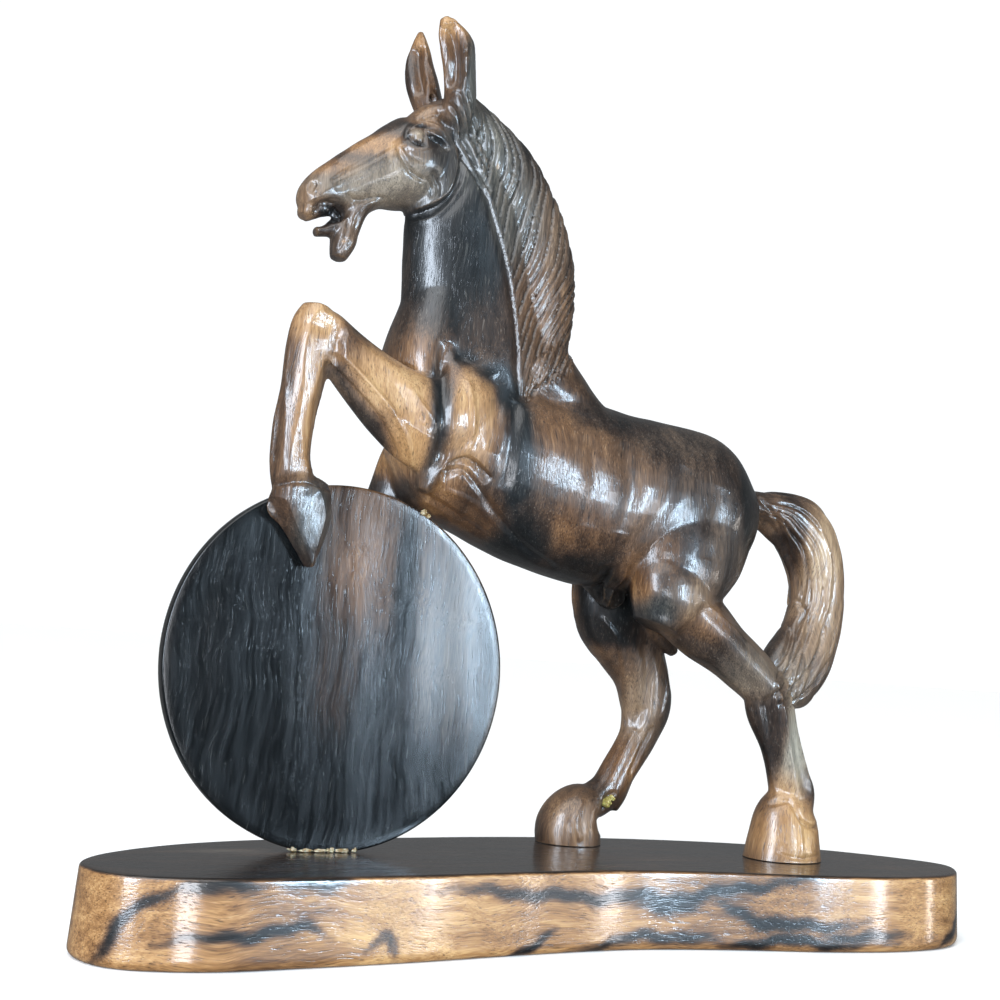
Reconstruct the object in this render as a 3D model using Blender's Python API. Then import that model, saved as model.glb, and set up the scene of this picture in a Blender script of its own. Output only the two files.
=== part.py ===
"""Carved hardwood horse rearing over an upright disc, on a wavy oval plinth.

Frame: metres, +Z up, X along the plinth, the horse faces -X and shows its left side to -Y.
The origin is at the middle of the plinth's underside.
Three pieces: the plinth, the disc that stands on it, and the horse, carved from one block.
"""
import math

import bmesh
import bpy
import numpy as np
from mathutils import Vector, kdtree

MM = 0.001

# Driving sizes, in mm
HORSE_HEIGHT = 280.0        # from the plinth's top to the near ear's tip
PLINTH_LENGTH = 323.0       # at its widest, near the underside
PLINTH_WIDTH = 89.0
PLINTH_THICKNESS = 25.6
PLINTH_FLARE = 1.2          # how far the side stands out at the bottom
PLINTH_TOP_EDGE = 1.2       # radius of the worn top edge
PLINTH_FOOT_EDGE = 2.4      # radius of the worn bottom edge
DISC_THICKNESS = 6.0
DISC_EDGE = 0.8             # radius of the disc's rubbed rims
DISC_FLAT = 0.6             # depth of the small flat that the disc stands on
FIT_GAP = 0.3               # left between pieces that touch

# The horse's pose and carving are shares of its height: the stations and lines
# below are in mm on a horse 280 mm tall, measured from the plinth's top.
FIGURE = HORSE_HEIGHT / 280.0
HORSE_X = -5.7
HORSE_MIDDLE_Y = 14.0           # the horse's middle plane, behind the plinth's middle
DISC_RADIUS = 58.0 * FIGURE     # from the plinth up to the raised hoof
DISC_OVAL = 0.018               # how far the hand-cut disc is from round, as a share
DISC_LEAN = 18.5                # degrees that its long axis leans towards the horse's head
DISC_X = HORSE_X - 75.0 * FIGURE
DISC_FRONT_Y = HORSE_MIDDLE_Y - 11.1 * FIGURE   # its front face, between the forelegs

# The plinth's outline, seen from above, as shares of its half length and half width
PLINTH_OUTLINE = (
    (-1.00, -0.44), (-0.95, -0.84), (-0.80, -1.00), (-0.62, -0.96), (-0.39, -0.86),
    (-0.14, -0.71), (0.10, -0.62), (0.33, -0.69), (0.55, -0.83), (0.75, -0.87),
    (0.91, -0.72), (1.00, -0.26), (0.92, 0.16), (0.76, 0.57), (0.54, 0.86),
    (0.26, 1.00), (-0.02, 0.98), (-0.30, 0.84), (-0.55, 0.70), (-0.77, 0.42), (-0.94, -0.02),
)

VOXEL = 1.1                 # grain of the block that the limbs are fused in
RUB_PASSES = 6              # how often the fused block is rubbed smooth
HORSE_TRIANGLES = 8200
TUBE_SIDES = 20
STEPS_PER_SPAN = 4
OUTLINE_STEPS = 3
CORNER_STEPS = 2
DISC_SIDES = 64

# Each station of a limb is x, y from the horse's middle plane, z above the plinth,
# half width in the side view, half depth across the horse.
BODY = {
    "barrel": (
        (-58, 0, 141, 12, 12), (-47, 0, 139, 26, 20), (-27, 0, 135, 30, 23),
        (-3, 0, 128.6, 32.1, 24), (21, 0, 124, 32.1, 23), (46, 0, 122.4, 31.6, 23),
        (65.2, 0, 121.8, 29, 21), (80, 0, 120, 15, 14),
    ),
    "withers": (
        (-15, 0, 167.5, 17, 16), (-4, 0, 154.5, 17, 17), (9, 0, 143.5, 16, 18), (28, 0, 136.5, 16, 18),
    ),
    "breast": (
        (-42, 0, 196, 13, 12), (-45.9, 0, 178, 15.2, 14), (-48.8, 0, 160, 17, 17), (-50, 0, 142, 14, 17),
    ),
    "neck": (
        (-32, 0, 142, 25, 20), (-31, 0, 163, 29, 18), (-34, 0, 184, 26.5, 15),
        (-38, 0, 205, 24, 13.5), (-43, 0, 221, 20, 12.5), (-47, 0, 234, 14, 11),
        (-52, 0, 243, 11, 9),
    ),
    "skull": (
        (-50, 0, 240, 11, 9), (-58, 0, 232.8, 15.3, 12), (-67, 0, 227.5, 14.5, 12),
        (-75.5, 0, 223.6, 11.8, 10), (-84, 0, 218.8, 9.5, 8), (-90.7, 0, 214.4, 8, 7.5),
        (-95, 0, 210.8, 6.3, 7), (-97.6, 0, 208, 3.4, 4.5),
    ),
    "upper lip": (
        (-92, 0, 211.5, 4.5, 6.5), (-95.5, 0, 208, 4, 5.5), (-97.8, 0, 205, 2.2, 4),
    ),
    "tongue": (
        (-80, 0, 207, 5, 4), (-85.5, 0, 204, 3.6, 3.5), (-89.5, 0, 201.8, 2, 3.2), (-93.3, 0, 200.8, 1.8, 3),
    ),
    "poll": (
        (-66, 0, 239, 3, 5), (-57, 0, 246, 5.5, 8), (-47, 0, 248, 9, 10), (-40, 0, 246, 9, 9),
    ),
    "lower jaw": (
        (-67, 0, 220, 4.4, 9), (-77.5, 0, 213, 3.6, 6.5), (-81.8, 0, 204.5, 4.2, 5),
        (-83, 0, 199, 4.3, 5.5), (-84.4, 0, 193, 2.6, 4),
    ),
    "near ear": (
        (-58.2, -11, 279.2, 1.6, 1.6), (-55.5, -11, 275.3, 4.8, 3), (-52.4, -11, 270.5, 6.4, 4.2),
        (-50.9, -11, 265, 6.4, 5), (-49.8, -10, 259.8, 6, 5.5), (-49, -9, 254.6, 5.8, 6),
        (-48.6, -7, 246, 5.6, 6),
    ),
    "far ear": (
        (-57.9, 11, 281.6, 1, 1.4), (-57.7, 11, 278, 2.7, 2.8), (-57.5, 11, 274, 4.2, 4),
        (-57.3, 11, 269.5, 5.4, 5), (-56.5, 10, 264, 6.3, 5.5), (-55, 9, 258, 6.2, 6),
        (-52.6, 7, 250, 5.2, 6),
    ),
    "mane": (
        (-45, 0, 254, 6, 6), (-36.5, 0, 245, 9, 8), (-27, 0, 235, 11.5, 10),
        (-19.3, 0, 221.5, 13.5, 11.5), (-14, 0, 207, 15, 12.5), (-11, 0, 191, 14.4, 13),
        (-9.4, 0, 176, 11.3, 12.5), (-13, 0, 161, 7, 13),
    ),
    "near shoulder": (
        (-26, -8, 148, 22, 11), (-40, -12, 146, 20, 11), (-52, -13, 141, 17, 11),
        (-65.5, -15, 145.8, 13.5, 9.5), (-77.5, -15, 153.9, 10.3, 8.5),
        (-87, -15, 161.6, 8.6, 7.5), (-92, -15, 165.9, 7.6, 7), (-95.5, -15, 169, 5.5, 6),
    ),
    "near elbow": (
        (-42, -11, 142, 12, 10), (-48, -13, 128, 7.5, 8), (-52.5, -14, 118, 2, 3),
    ),
    "near cannon": (
        (-94.4, -15, 173.4, 4.5, 5), (-95, -15, 167.5, 7, 6.5), (-95.6, -15, 159, 7.9, 6.8),
        (-97.2, -15, 145, 7, 5.8),
        (-98.6, -15, 135, 6.9, 5.6), (-98.8, -15, 124.5, 7.2, 6), (-98, -15, 117.5, 7.5, 6.5),
    ),
    "near fore hoof": (
        (-98, -15, 118, 7, 6.5), (-95, -15, 111.5, 11.3, 7.5), (-92.2, -15, 105, 8.6, 7),
        (-92.2, -14, 97.5, 4.4, 5), (-92, -13, 90, 1.2, 2.5),
    ),
    "far shoulder": (
        (-30, 10, 145, 18, 10), (-39, 12, 138, 14, 10), (-46.9, 13, 130, 11.5, 9.5),
        (-53.8, 13, 116, 9, 8), (-59, 13, 103.5, 7.5, 7.5),
    ),
    "far cannon": (
        (-59.5, 13, 106, 7.5, 7.5), (-57, 13, 93.5, 6.2, 6.3), (-53, 13, 82, 5.8, 6),
        (-51, 12, 73, 6.5, 6.5),
    ),
    "far fore hoof": (
        (-51, 12, 75, 6.5, 6.5), (-52, 11, 66.5, 9, 8), (-52.5, 10, 58.5, 9.8, 8.5),
    ),
    "near haunch": (
        (60.6, -8, 128, 23.4, 12), (50.6, -12, 108, 23.2, 12.5), (43, -14, 90, 15.5, 12.5),
        (39, -14, 80, 8, 9),
    ),
    "near gaskin": (
        (45, -13, 92, 13, 11), (58, -14, 81.5, 12, 10.5), (69, -14, 74, 10, 9),
        (80, -14, 66.5, 9.3, 8), (91, -14, 58, 8.2, 7.5),
    ),
    "near hind cannon": (
        (86.6, -14, 62, 8.5, 7.8), (89.8, -14, 53, 9.6, 7.4), (94.8, -14, 41.5, 8, 6.3),
        (99.3, -14, 30, 8.4, 6.6), (101.6, -14, 23, 9.4, 7.4), (102, -14, 16, 8.2, 8),
    ),
    "near hind hoof": (
        (100.6, -14, 22, 8.4, 7.5), (99.4, -14, 15.5, 12.2, 9.5), (99.2, -14, 8, 13.6, 11),
        (99, -14, -2, 15.5, 12.5),
    ),
    "far haunch": (
        (55, 10, 124, 24, 12), (46, 13, 105, 24, 12), (37.5, 15, 87, 16.5, 12),
        (45, 16, 74.5, 14, 10), (51.6, 16, 63, 11, 8.5), (55.3, 16, 51.7, 10.2, 7.5),
    ),
    "far hind cannon": (
        (54.9, 16, 56.5, 10.2, 7.5), (55.1, 16, 49, 10, 7.5), (52, 16, 38, 7.6, 6.3),
        (45.3, 16, 26.6, 7, 6.3), (40.9, 16, 19.2, 7, 6.5), (34.6, 16, 14.7, 7, 7),
    ),
    "far hind hoof": (
        (38, 16, 14.5, 4, 6), (31, 16, 12.9, 9.3, 9), (26.6, 16, 6.5, 12.4, 10.5),
        (27, 16, -2, 12, 10.5),
    ),
    "dewclaw spur": (
        (47, 16, 25, 5, 5), (45, 16, 17, 4, 4), (44, 16, 12, 2, 2.5),
    ),
    "sheath": (
        (18, 0, 98, 5, 6), (26, 0, 92, 6, 6), (31, 0, 87, 3.5, 4),
    ),
    "stifle flap": (
        (48, 6, 84, 5, 5), (55, 7, 76, 3.5, 3.5), (61, 8, 71, 1.8, 2.5),
    ),
    "tail": (
        (78, 0, 128, 6, 8), (86, 0, 127.5, 6.5, 8.5), (96, 0, 125.5, 9.5, 9),
        (107.4, 0, 121, 12.6, 9.5), (115, 0, 109, 12, 9.5), (117.3, 0, 95.3, 11.4, 9),
        (115.3, -1, 83, 12, 9), (109.5, -3, 73, 13.5, 9), (100.5, -6, 64.5, 13.5, 8),
        (94.5, -9, 58, 7.2, 5),
    ),
}

# How far the sections of the crisply cut limbs go from an ellipse, 1, towards a diamond, 2
EDGED = {
    "near fore hoof": 1.7, "near elbow": 1.5, "near shoulder": 1.2, "near cannon": 1.25,
    "far hind cannon": 1.2, "near hind cannon": 1.2, "near gaskin": 1.15, "far shoulder": 1.2,
    "dewclaw spur": 1.4, "near ear": 1.2, "far ear": 1.4,
}

# Carving in the side view, as x and z of points along each line
MANE_CREST = ((-40, 259.5), (-23, 246), (-9, 234), (-2, 222), (4, 201), (5, 190), (3.5, 178), (1, 168))
MANE_HEM = ((-50, 252), (-45.5, 242), (-40, 230), (-34.5, 217), (-28.5, 201.5), (-24.6, 187),
            (-22.4, 170), (-20.5, 152.5))
MANE_LOCKS = 13
EDGE_STEPS = 30
MANE_SWEEP = 0.34           # how far a lock runs down the neck on its way to the hem
MANE_DEPTH = 2.1
TAIL_OUTER = ((80, 137), (107, 134.7), (118, 129.7), (125.6, 121), (129.8, 106), (130, 93.6), (128.3, 78),
              (120.7, 59.3))
TAIL_INNER = ((80, 121), (86, 120), (90.3, 114.6), (97.7, 106.3), (101.6, 91.5), (97.7, 82.3), (89.8, 69),
              (87, 55))
TAIL_LOCKS = 5
TAIL_DEPTH = 1.2

# Each groove: the way it faces, its half width, its depth, and its points in the side view
NEAR = (0, -1, 0)
FAR = (0, 1, 0)
GROOVES = {
    "shoulder front": (NEAR, 2.2, 2.2, ((-47.5, 170), (-50, 164), (-53, 156), (-52.5, 142), (-50, 130))),
    "shoulder top": (NEAR, 2.4, 1.2, ((-47.5, 170), (-38, 163), (-28, 159), (-21, 151))),
    "shoulder back": (NEAR, 2.6, 1.2, ((-21, 151), (-25, 140), (-29, 128), (-30, 118))),
    "behind elbow": (NEAR, 2.4, 2.6, ((-45, 131), (-40, 128), (-34, 122), (-26, 112))),
    "stifle front": (NEAR, 2.4, 2.6, ((20, 100), (24, 92), (29, 84), (36, 75))),
    "flank": (NEAR, 4, 1.4, ((22, 104), (32, 110), (40, 122))),
    "far shoulder front": (FAR, 2.4, 1.6, ((-47.5, 168), (-52, 150), (-50, 130))),
    "far stifle front": (FAR, 2.4, 2, ((20, 102), (24, 92), (30, 84))),
    "near jowl": (NEAR, 2.2, 2, ((-46, 240), (-48.5, 229), (-53, 219), (-61, 212.5))),
    "far jowl": (FAR, 2.2, 2, ((-46, 240), (-48.5, 229), (-53, 219), (-61, 212.5))),
    "near cheek": (NEAR, 1.4, 0.7, ((-68, 232), (-74, 225), (-82, 217), (-88, 213))),
    "far cheek": (FAR, 1.4, 0.7, ((-68, 232), (-74, 225), (-82, 217), (-88, 213))),
    "near ear hollow": ((-0.6, -0.8, 0), 2.6, 3.4, ((-55.5, 274), (-53, 266), (-52, 256))),
    "far ear hollow": ((-0.9, 0.4, 0), 2, 2.4, ((-59.5, 273), (-59.5, 265), (-58, 257))),
    "near hind pastern": (NEAR, 1.4, 1, ((89, 20), (98, 15), (109, 13))),
}
# Each raised or sunk spot: x, y from the middle plane, z, its reach, its height
SPOTS = {
    "near eye": (-62.5, -11.5, 237.5, 2.6, 1.3),
    "far eye": (-62.5, 11.5, 237.5, 2.6, 1.3),
    "near nostril": (-96.5, -6, 212.5, 1.8, -1.2),
    "far nostril": (-96.5, 6, 212.5, 1.8, -1.2),
    "near stifle": (37, -24, 90, 7, 0.8),
}


def smooth_rows(rows, steps, closed=False):
    """Rows of numbers on the smooth curve that runs through the given rows."""
    points = [np.array(row, dtype=float) for row in rows]
    if closed:
        points = [points[-1]] + points + points[:2]
    else:
        points = [2 * points[0] - points[1]] + points + [2 * points[-1] - points[-2]]
    result = []
    for i in range(1, len(points) - 2):
        before, start, end, after = points[i - 1:i + 3]
        for t in np.arange(steps) / steps:
            bend = 2 * before - 5 * start + 4 * end - after
            twist = 3 * start - before - 3 * end + after
            result.append(0.5 * (2 * start + (end - before) * t + bend * t ** 2 + twist * t ** 3))
    if not closed:
        result.append(points[-2])
    return np.array(result)


def skin_rings(bm, rings):
    """Join rings of equal counts by faces and close both ends."""
    loops = [[bm.verts.new(point) for point in ring] for ring in rings]
    for lower, upper in zip(loops, loops[1:]):
        for k in range(len(lower)):
            after = (k + 1) % len(lower)
            bm.faces.new((lower[k], lower[after], upper[after], upper[k]))
    bm.faces.new(loops[0])
    bm.faces.new(loops[-1])


def add_limb(bm, stations, edge):
    """A closed tube square to its own centre line in the side view.

    Its sections are ellipses where edge is 1, and come nearer a diamond as edge grows.
    """
    rows = smooth_rows(stations, STEPS_PER_SPAN)
    rings = []
    for i, row in enumerate(rows):
        run = rows[min(i + 1, len(rows) - 1)] - rows[max(i - 1, 0)]
        length = math.hypot(run[0], run[2])
        across = Vector((-run[2] / length, 0, run[0] / length))
        ring = []
        for k in range(TUBE_SIDES):
            angle = 2 * math.pi * k / TUBE_SIDES
            wide = math.copysign(abs(math.cos(angle)) ** edge, math.cos(angle))
            deep = math.copysign(abs(math.sin(angle)) ** edge, math.sin(angle))
            point = Vector(row[:3]) + across * max(row[3], 0.5) * wide
            point.y += max(row[4], 0.5) * deep
            ring.append(point)
        rings.append(ring)
    skin_rings(bm, rings)


def new_object(name, bm, colour=(0.5, 0.5, 0.5), roughness=0.5):
    """Make a named object from a bmesh, with a wood of its own."""
    bmesh.ops.recalc_face_normals(bm, faces=bm.faces)
    mesh = bpy.data.meshes.new(name)
    bm.to_mesh(mesh)
    bm.free()
    obj = bpy.data.objects.new(name, mesh)
    bpy.context.scene.collection.objects.link(obj)
    material = bpy.data.materials.new(name + "_wood")
    material.use_nodes = True
    shader = material.node_tree.nodes["Principled BSDF"]
    shader.inputs["Base Color"].default_value = (*colour, 1.0)
    shader.inputs["Roughness"].default_value = roughness
    shader.inputs["Metallic"].default_value = 0.0
    mesh.materials.append(material)
    return obj


def new_cutter(name, bm):
    """An object that only cuts others."""
    cutter = new_object(name, bm)
    cutter.hide_render = True
    cutter.display_type = "WIRE"
    return cutter


def cut(obj, cutter):
    """Take the cutter's shape out of the object."""
    boolean = obj.modifiers.new("cut by " + cutter.name, "BOOLEAN")
    boolean.operation = "DIFFERENCE"
    boolean.solver = "EXACT"
    boolean.object = cutter


def apply_modifiers(obj):
    """Replace the object's mesh by its evaluated one."""
    graph = bpy.context.evaluated_depsgraph_get()
    mesh = bpy.data.meshes.new_from_object(obj.evaluated_get(graph))
    obj.modifiers.clear()
    obj.data = mesh


def line_distance(x, z, line):
    """How far each point is from a smooth line in the side view."""
    points = smooth_rows(line, 3)
    nearest = np.full(len(x), 1e9)
    for start, end in zip(points, points[1:]):
        run = end - start
        share = ((x - start[0]) * run[0] + (z - start[1]) * run[1]) / (run @ run)
        share = np.clip(share, 0, 1)
        gap = np.hypot(x - start[0] - share * run[0], z - start[1] - share * run[1])
        nearest = np.minimum(nearest, gap)
    return nearest


def between_edges(x, z, first_edge, second_edge):
    """Place each point between two edges: along them, across from the first, and how far off."""
    first = smooth_rows(first_edge, EDGE_STEPS)
    second = smooth_rows(second_edge, EDGE_STEPS)
    along = np.linspace(0, 1, len(first))
    across = np.linspace(0, 1, EDGE_STEPS)
    tree = kdtree.KDTree(len(along) * len(across))
    for i in range(len(along)):
        for j, share in enumerate(across):
            spot = first[i] * (1 - share) + second[i] * share
            tree.insert((spot[0], spot[1], 0), i * len(across) + j)
    tree.balance()
    result = []
    for px, pz in zip(x, z):
        _, index, gap = tree.find((px, pz, 0))
        result.append((along[index // len(across)], across[index % len(across)], gap))
    return np.array(result).T


def lock_relief(phase, depth):
    """Rounded locks with sharp valleys between them."""
    return depth * (np.abs(np.sin(math.pi * phase)) - 0.7)


def carve(obj):
    """Cut the locks, grooves and features into the rubbed block, along its normals."""
    mesh = obj.data
    count = len(mesh.vertices)
    places = np.empty(count * 3, dtype=np.float32)
    normals = np.empty(count * 3, dtype=np.float32)
    mesh.vertices.foreach_get("co", places)
    mesh.vertices.foreach_get("normal", normals)
    places = places.reshape(-1, 3).astype(float)
    normals = normals.reshape(-1, 3).astype(float)
    x = (places[:, 0] / MM - HORSE_X) / FIGURE
    y = (places[:, 1] / MM - HORSE_MIDDLE_Y) / FIGURE
    z = (places[:, 2] / MM - PLINTH_THICKNESS) / FIGURE
    height = np.zeros(count)

    mane = np.flatnonzero((x > -54) & (x < 10) & (z > 150) & (z < 264))
    along, across, gap = between_edges(x[mane], z[mane], MANE_CREST, MANE_HEM)
    inside = np.clip(1 - gap / 1.5, 0, 1) * (z[mane] < 262)
    sweep = across + 0.06 * np.sin(2 * math.pi * across)
    phase = (along - MANE_SWEEP * sweep) * MANE_LOCKS
    height[mane] += inside * lock_relief(phase, MANE_DEPTH)

    tail = np.flatnonzero((x > 84) & (z > 54) & (z < 140) & (y > -15))
    along, across, gap = between_edges(x[tail], z[tail], TAIL_OUTER, TAIL_INNER)
    inside = np.clip(1 - gap / 2.5, 0, 1) * np.clip((x[tail] - 84) / 8, 0, 1)
    phase = across * TAIL_LOCKS + 0.5 * np.sin(4 * along)
    height[tail] += inside * lock_relief(phase, TAIL_DEPTH)

    for facing, reach, depth, line in GROOVES.values():
        weight = np.clip(1.6 * (normals @ np.array(facing, dtype=float)), 0, 1)
        height -= depth * weight * np.exp(-(line_distance(x, z, line) / reach) ** 2)
    for sx, sy, sz, reach, rise in SPOTS.values():
        gap = np.sqrt((x - sx) ** 2 + (y - sy) ** 2 + (z - sz) ** 2)
        height += rise * np.exp(-(gap / reach) ** 2)

    places += normals * (height * FIGURE * MM)[:, None]
    mesh.vertices.foreach_set("co", places.ravel())
    mesh.update()


def make_horse():
    """The horse: limbs fused into one block, rubbed smooth, carved, and cut where it rests."""
    bm = bmesh.new()
    for name, stations in BODY.items():
        add_limb(bm, stations, EDGED.get(name, 1))
    for vert in bm.verts:
        x, y, z = vert.co * FIGURE
        vert.co = Vector((x + HORSE_X, y + HORSE_MIDDLE_Y, z + PLINTH_THICKNESS)) * MM
    horse = new_object("horse", bm, (0.09, 0.035, 0.018), 0.35)
    fused = horse.modifiers.new("one block", "REMESH")
    fused.mode = "VOXEL"
    fused.voxel_size = VOXEL * FIGURE * MM
    rubbed = horse.modifiers.new("rubbed smooth", "SMOOTH")
    rubbed.factor = 0.5
    rubbed.iterations = RUB_PASSES
    apply_modifiers(horse)
    carve(horse)
    horse.data.calc_loop_triangles()
    coarse = horse.modifiers.new("coarse", "DECIMATE")
    coarse.ratio = HORSE_TRIANGLES / len(horse.data.loop_triangles)
    cut(horse, disc_cutter())
    cut(horse, ground_cutter())
    return horse


def outline_points():
    """The plinth's top outline in mm, and the way out at each point."""
    points = smooth_rows(PLINTH_OUTLINE, OUTLINE_STEPS, closed=True)
    lowest, highest = points.min(axis=0), points.max(axis=0)
    points = (2 * points - lowest - highest) / (highest - lowest)
    half_length = PLINTH_LENGTH / 2 - PLINTH_FLARE
    half_width = PLINTH_WIDTH / 2 - PLINTH_FLARE
    points = points * (half_length, half_width)
    run = np.roll(points, -1, axis=0) - np.roll(points, 1, axis=0)
    out = np.stack([run[:, 1], -run[:, 0]], axis=1)
    return points, out / np.linalg.norm(out, axis=1)[:, None]


def corner(radius, start, end):
    """Steps outward and upward round a quarter corner, from one angle to another."""
    angles = np.radians(np.linspace(start, end, CORNER_STEPS + 1))
    return [(radius * math.cos(a), radius * math.sin(a)) for a in angles]


def make_plinth():
    """The plinth: its outline carried up from a rounded foot over a leaning side."""
    points, out = outline_points()
    profile = [(PLINTH_FLARE - PLINTH_FOOT_EDGE + dx, PLINTH_FOOT_EDGE + dz)
               for dx, dz in corner(PLINTH_FOOT_EDGE, -90, 0)]
    top = PLINTH_THICKNESS - PLINTH_TOP_EDGE
    profile += [(-PLINTH_TOP_EDGE + dx, top + dz) for dx, dz in corner(PLINTH_TOP_EDGE, 0, 90)]
    rings = []
    for offset, z in profile:
        ring = points + out * offset
        rings.append([Vector((px, py, z)) * MM for px, py in ring])
    bm = bmesh.new()
    skin_rings(bm, rings)
    return new_object("plinth", bm, (0.16, 0.06, 0.025), 0.3)


def add_wheel(bm, radius, back, front, edge):
    """A round plate that stands on its rim, about the disc's own axis."""
    profile = [(radius - edge + dx, back - edge + dz) for dx, dz in corner(edge, 90, 0)]
    profile += [(radius - edge + dx, front + edge + dz) for dx, dz in corner(edge, 0, -90)]
    lean = math.radians(90 + DISC_LEAN)
    foot = DISC_RADIUS * (1 + DISC_OVAL * math.cos(2 * math.radians(DISC_LEAN)))
    centre_z = PLINTH_THICKNESS + FIT_GAP + foot - DISC_FLAT
    rings = []
    for reach, y in profile:
        ring = []
        for k in range(DISC_SIDES):
            angle = 2 * math.pi * k / DISC_SIDES
            length = reach + DISC_RADIUS * DISC_OVAL * math.cos(2 * (angle - lean))
            ring.append(Vector((DISC_X + length * math.cos(angle), y,
                                centre_z + length * math.sin(angle))) * MM)
        rings.append(ring)
    skin_rings(bm, rings)


def make_disc():
    """The blank disc, upright on the plinth on a small flat."""
    bm = bmesh.new()
    add_wheel(bm, DISC_RADIUS, DISC_FRONT_Y + DISC_THICKNESS, DISC_FRONT_Y, DISC_EDGE)
    disc = new_object("disc", bm, (0.05, 0.035, 0.035), 0.3)
    cut(disc, ground_cutter())
    return disc


def disc_cutter():
    """The disc with room all round, which notches the hoof and the chest."""
    bm = bmesh.new()
    back = DISC_FRONT_Y + DISC_THICKNESS + FIT_GAP
    add_wheel(bm, DISC_RADIUS + FIT_GAP, back, DISC_FRONT_Y - FIT_GAP, DISC_EDGE)
    return new_cutter("disc room", bm)


def ground_cutter():
    """A block whose top is the plinth's top and a little more, which flattens what stands there."""
    if "ground room" in bpy.data.objects:
        return bpy.data.objects["ground room"]
    top = PLINTH_THICKNESS + FIT_GAP
    bm = bmesh.new()
    bmesh.ops.create_cube(bm, size=1)
    for vert in bm.verts:
        vert.co.x *= 2 * PLINTH_LENGTH * MM
        vert.co.y *= 3 * PLINTH_WIDTH * MM
        vert.co.z = (vert.co.z - 0.5) * 2 * PLINTH_THICKNESS * MM + top * MM
    return new_cutter("ground room", bm)


def main():
    for obj in list(bpy.data.objects):
        bpy.data.objects.remove(obj, do_unlink=True)
    for obj in (make_plinth(), make_disc(), make_horse()):
        obj.data.shade_smooth()
        obj.data.set_sharp_from_angle(angle=math.radians(40))


main()
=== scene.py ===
"""Carved ebony horse rearing over an upright blank disc, on a wavy oval plinth: the looks.

Metres, +Z up, X along the plinth. The horse faces -X and shows its left side to -Y.
The named sizes are in mm. The horse's stations and carving lines are in mm on a horse
280 mm tall: x from its own origin, y from its middle plane, z above the plinth's top.
"""
import logging
import math
from dataclasses import dataclass, field
from enum import Enum
from typing import Iterable

import bpy
import numpy as np
from mathutils import Matrix, Vector, kdtree


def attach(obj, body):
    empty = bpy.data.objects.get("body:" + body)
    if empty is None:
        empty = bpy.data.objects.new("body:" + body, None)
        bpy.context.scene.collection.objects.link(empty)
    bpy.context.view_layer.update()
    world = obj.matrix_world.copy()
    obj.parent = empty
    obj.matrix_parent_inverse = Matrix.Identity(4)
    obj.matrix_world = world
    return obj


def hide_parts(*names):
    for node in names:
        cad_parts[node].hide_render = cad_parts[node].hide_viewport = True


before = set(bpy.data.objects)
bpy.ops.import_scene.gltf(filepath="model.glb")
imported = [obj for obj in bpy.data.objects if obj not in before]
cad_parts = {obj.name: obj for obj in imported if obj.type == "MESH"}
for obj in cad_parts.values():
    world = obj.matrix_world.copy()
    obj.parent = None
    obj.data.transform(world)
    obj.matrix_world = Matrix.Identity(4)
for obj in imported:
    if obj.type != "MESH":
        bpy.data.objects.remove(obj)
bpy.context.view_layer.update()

MM = 0.001
GROUND_WEIGHT = 0.12        # weight of the wood between the patches, against a patch's middle
CRISP_ANGLE = 50.0          # degrees: edges that turn more than this look sharp
LOG = logging.getLogger("horse")

Line = tuple[tuple[float, float], ...]
Point = tuple[float, float, float]
Station = tuple[float, float, float, float, float]
Lump = tuple[float, float, float, float, float, float]

# Where the pieces meet, as in the solids
HORSE_X = -5.7
HORSE_MIDDLE_Y = 14.0
PLINTH_THICKNESS = 25.6
DISC_RADIUS = 58.0
DISC_OVAL = 0.018           # how far the hand-cut disc is from round, as a share
DISC_LEAN = 18.5            # degrees that its long axis leans towards the horse's head
DISC_THICKNESS = 6.0
DISC_X = HORSE_X - 75.0
DISC_FRONT_Y = HORSE_MIDDLE_Y - 11.1
DISC_FLAT = 0.6             # depth of the small flat that it stands on
FIT_GAP = 0.3               # left between pieces that touch


class Blade(Enum):
    """The tool that makes a cut, named for the shape that it leaves."""

    GOUGE = "a round furrow"
    PARTING = "a sharp V"
    STOP = "a crisp wall, with the wood on the line's left pared away"
    SPARED = "a low ridge left standing"


class Side(Enum):
    """The surfaces a run of cuts may touch: from and to across the horse, and the way they face."""

    NEAR = (-60.0, 3.0, -1.0)
    FAR = (-3.0, 60.0, 1.0)
    FAR_LEGS = (4.0, 60.0, -1.0)


@dataclass(frozen=True)
class Cut:
    """One stroke of a carving tool along a line in the side view.

    Args:
        line: Points of the stroke, x and z.
        reach: Half width of the mark.
        depth: Its depth, or height where the wood is spared.
        blade: The tool.
    """

    line: Line
    reach: float
    depth: float
    blade: Blade = Blade.PARTING

    def sink(self, x: np.ndarray, z: np.ndarray) -> np.ndarray:
        """How deep the stroke sinks each point of the side view.

        Args:
            x: Places along the horse.
            z: Places above the plinth.

        Returns:
            Depths, below zero where the wood stands proud.
        """
        gap, left, share = follow(x, z, self.line)
        fade = np.clip(np.minimum(share, 1 - share) / CUT_RUN_OUT, 0, 1) ** 0.5
        if self.blade is Blade.GOUGE:
            mark = np.exp(-(gap / self.reach) ** 2)
        elif self.blade is Blade.PARTING:
            mark = np.clip(1 - gap / self.reach, 0, 1)
        elif self.blade is Blade.STOP:
            wall = np.clip(left / STOP_WALL, 0, 1)
            mark = wall * np.exp(-(gap / self.reach) ** 2)
        else:
            mark = -np.clip(1 - gap / self.reach, 0, 1) ** 1.5
        return self.depth * fade * mark


CUT_RUN_OUT = 0.12          # share of a stroke at each end where it comes up to the surface
STOP_WALL = 0.5             # width of a stop cut's wall


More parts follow.
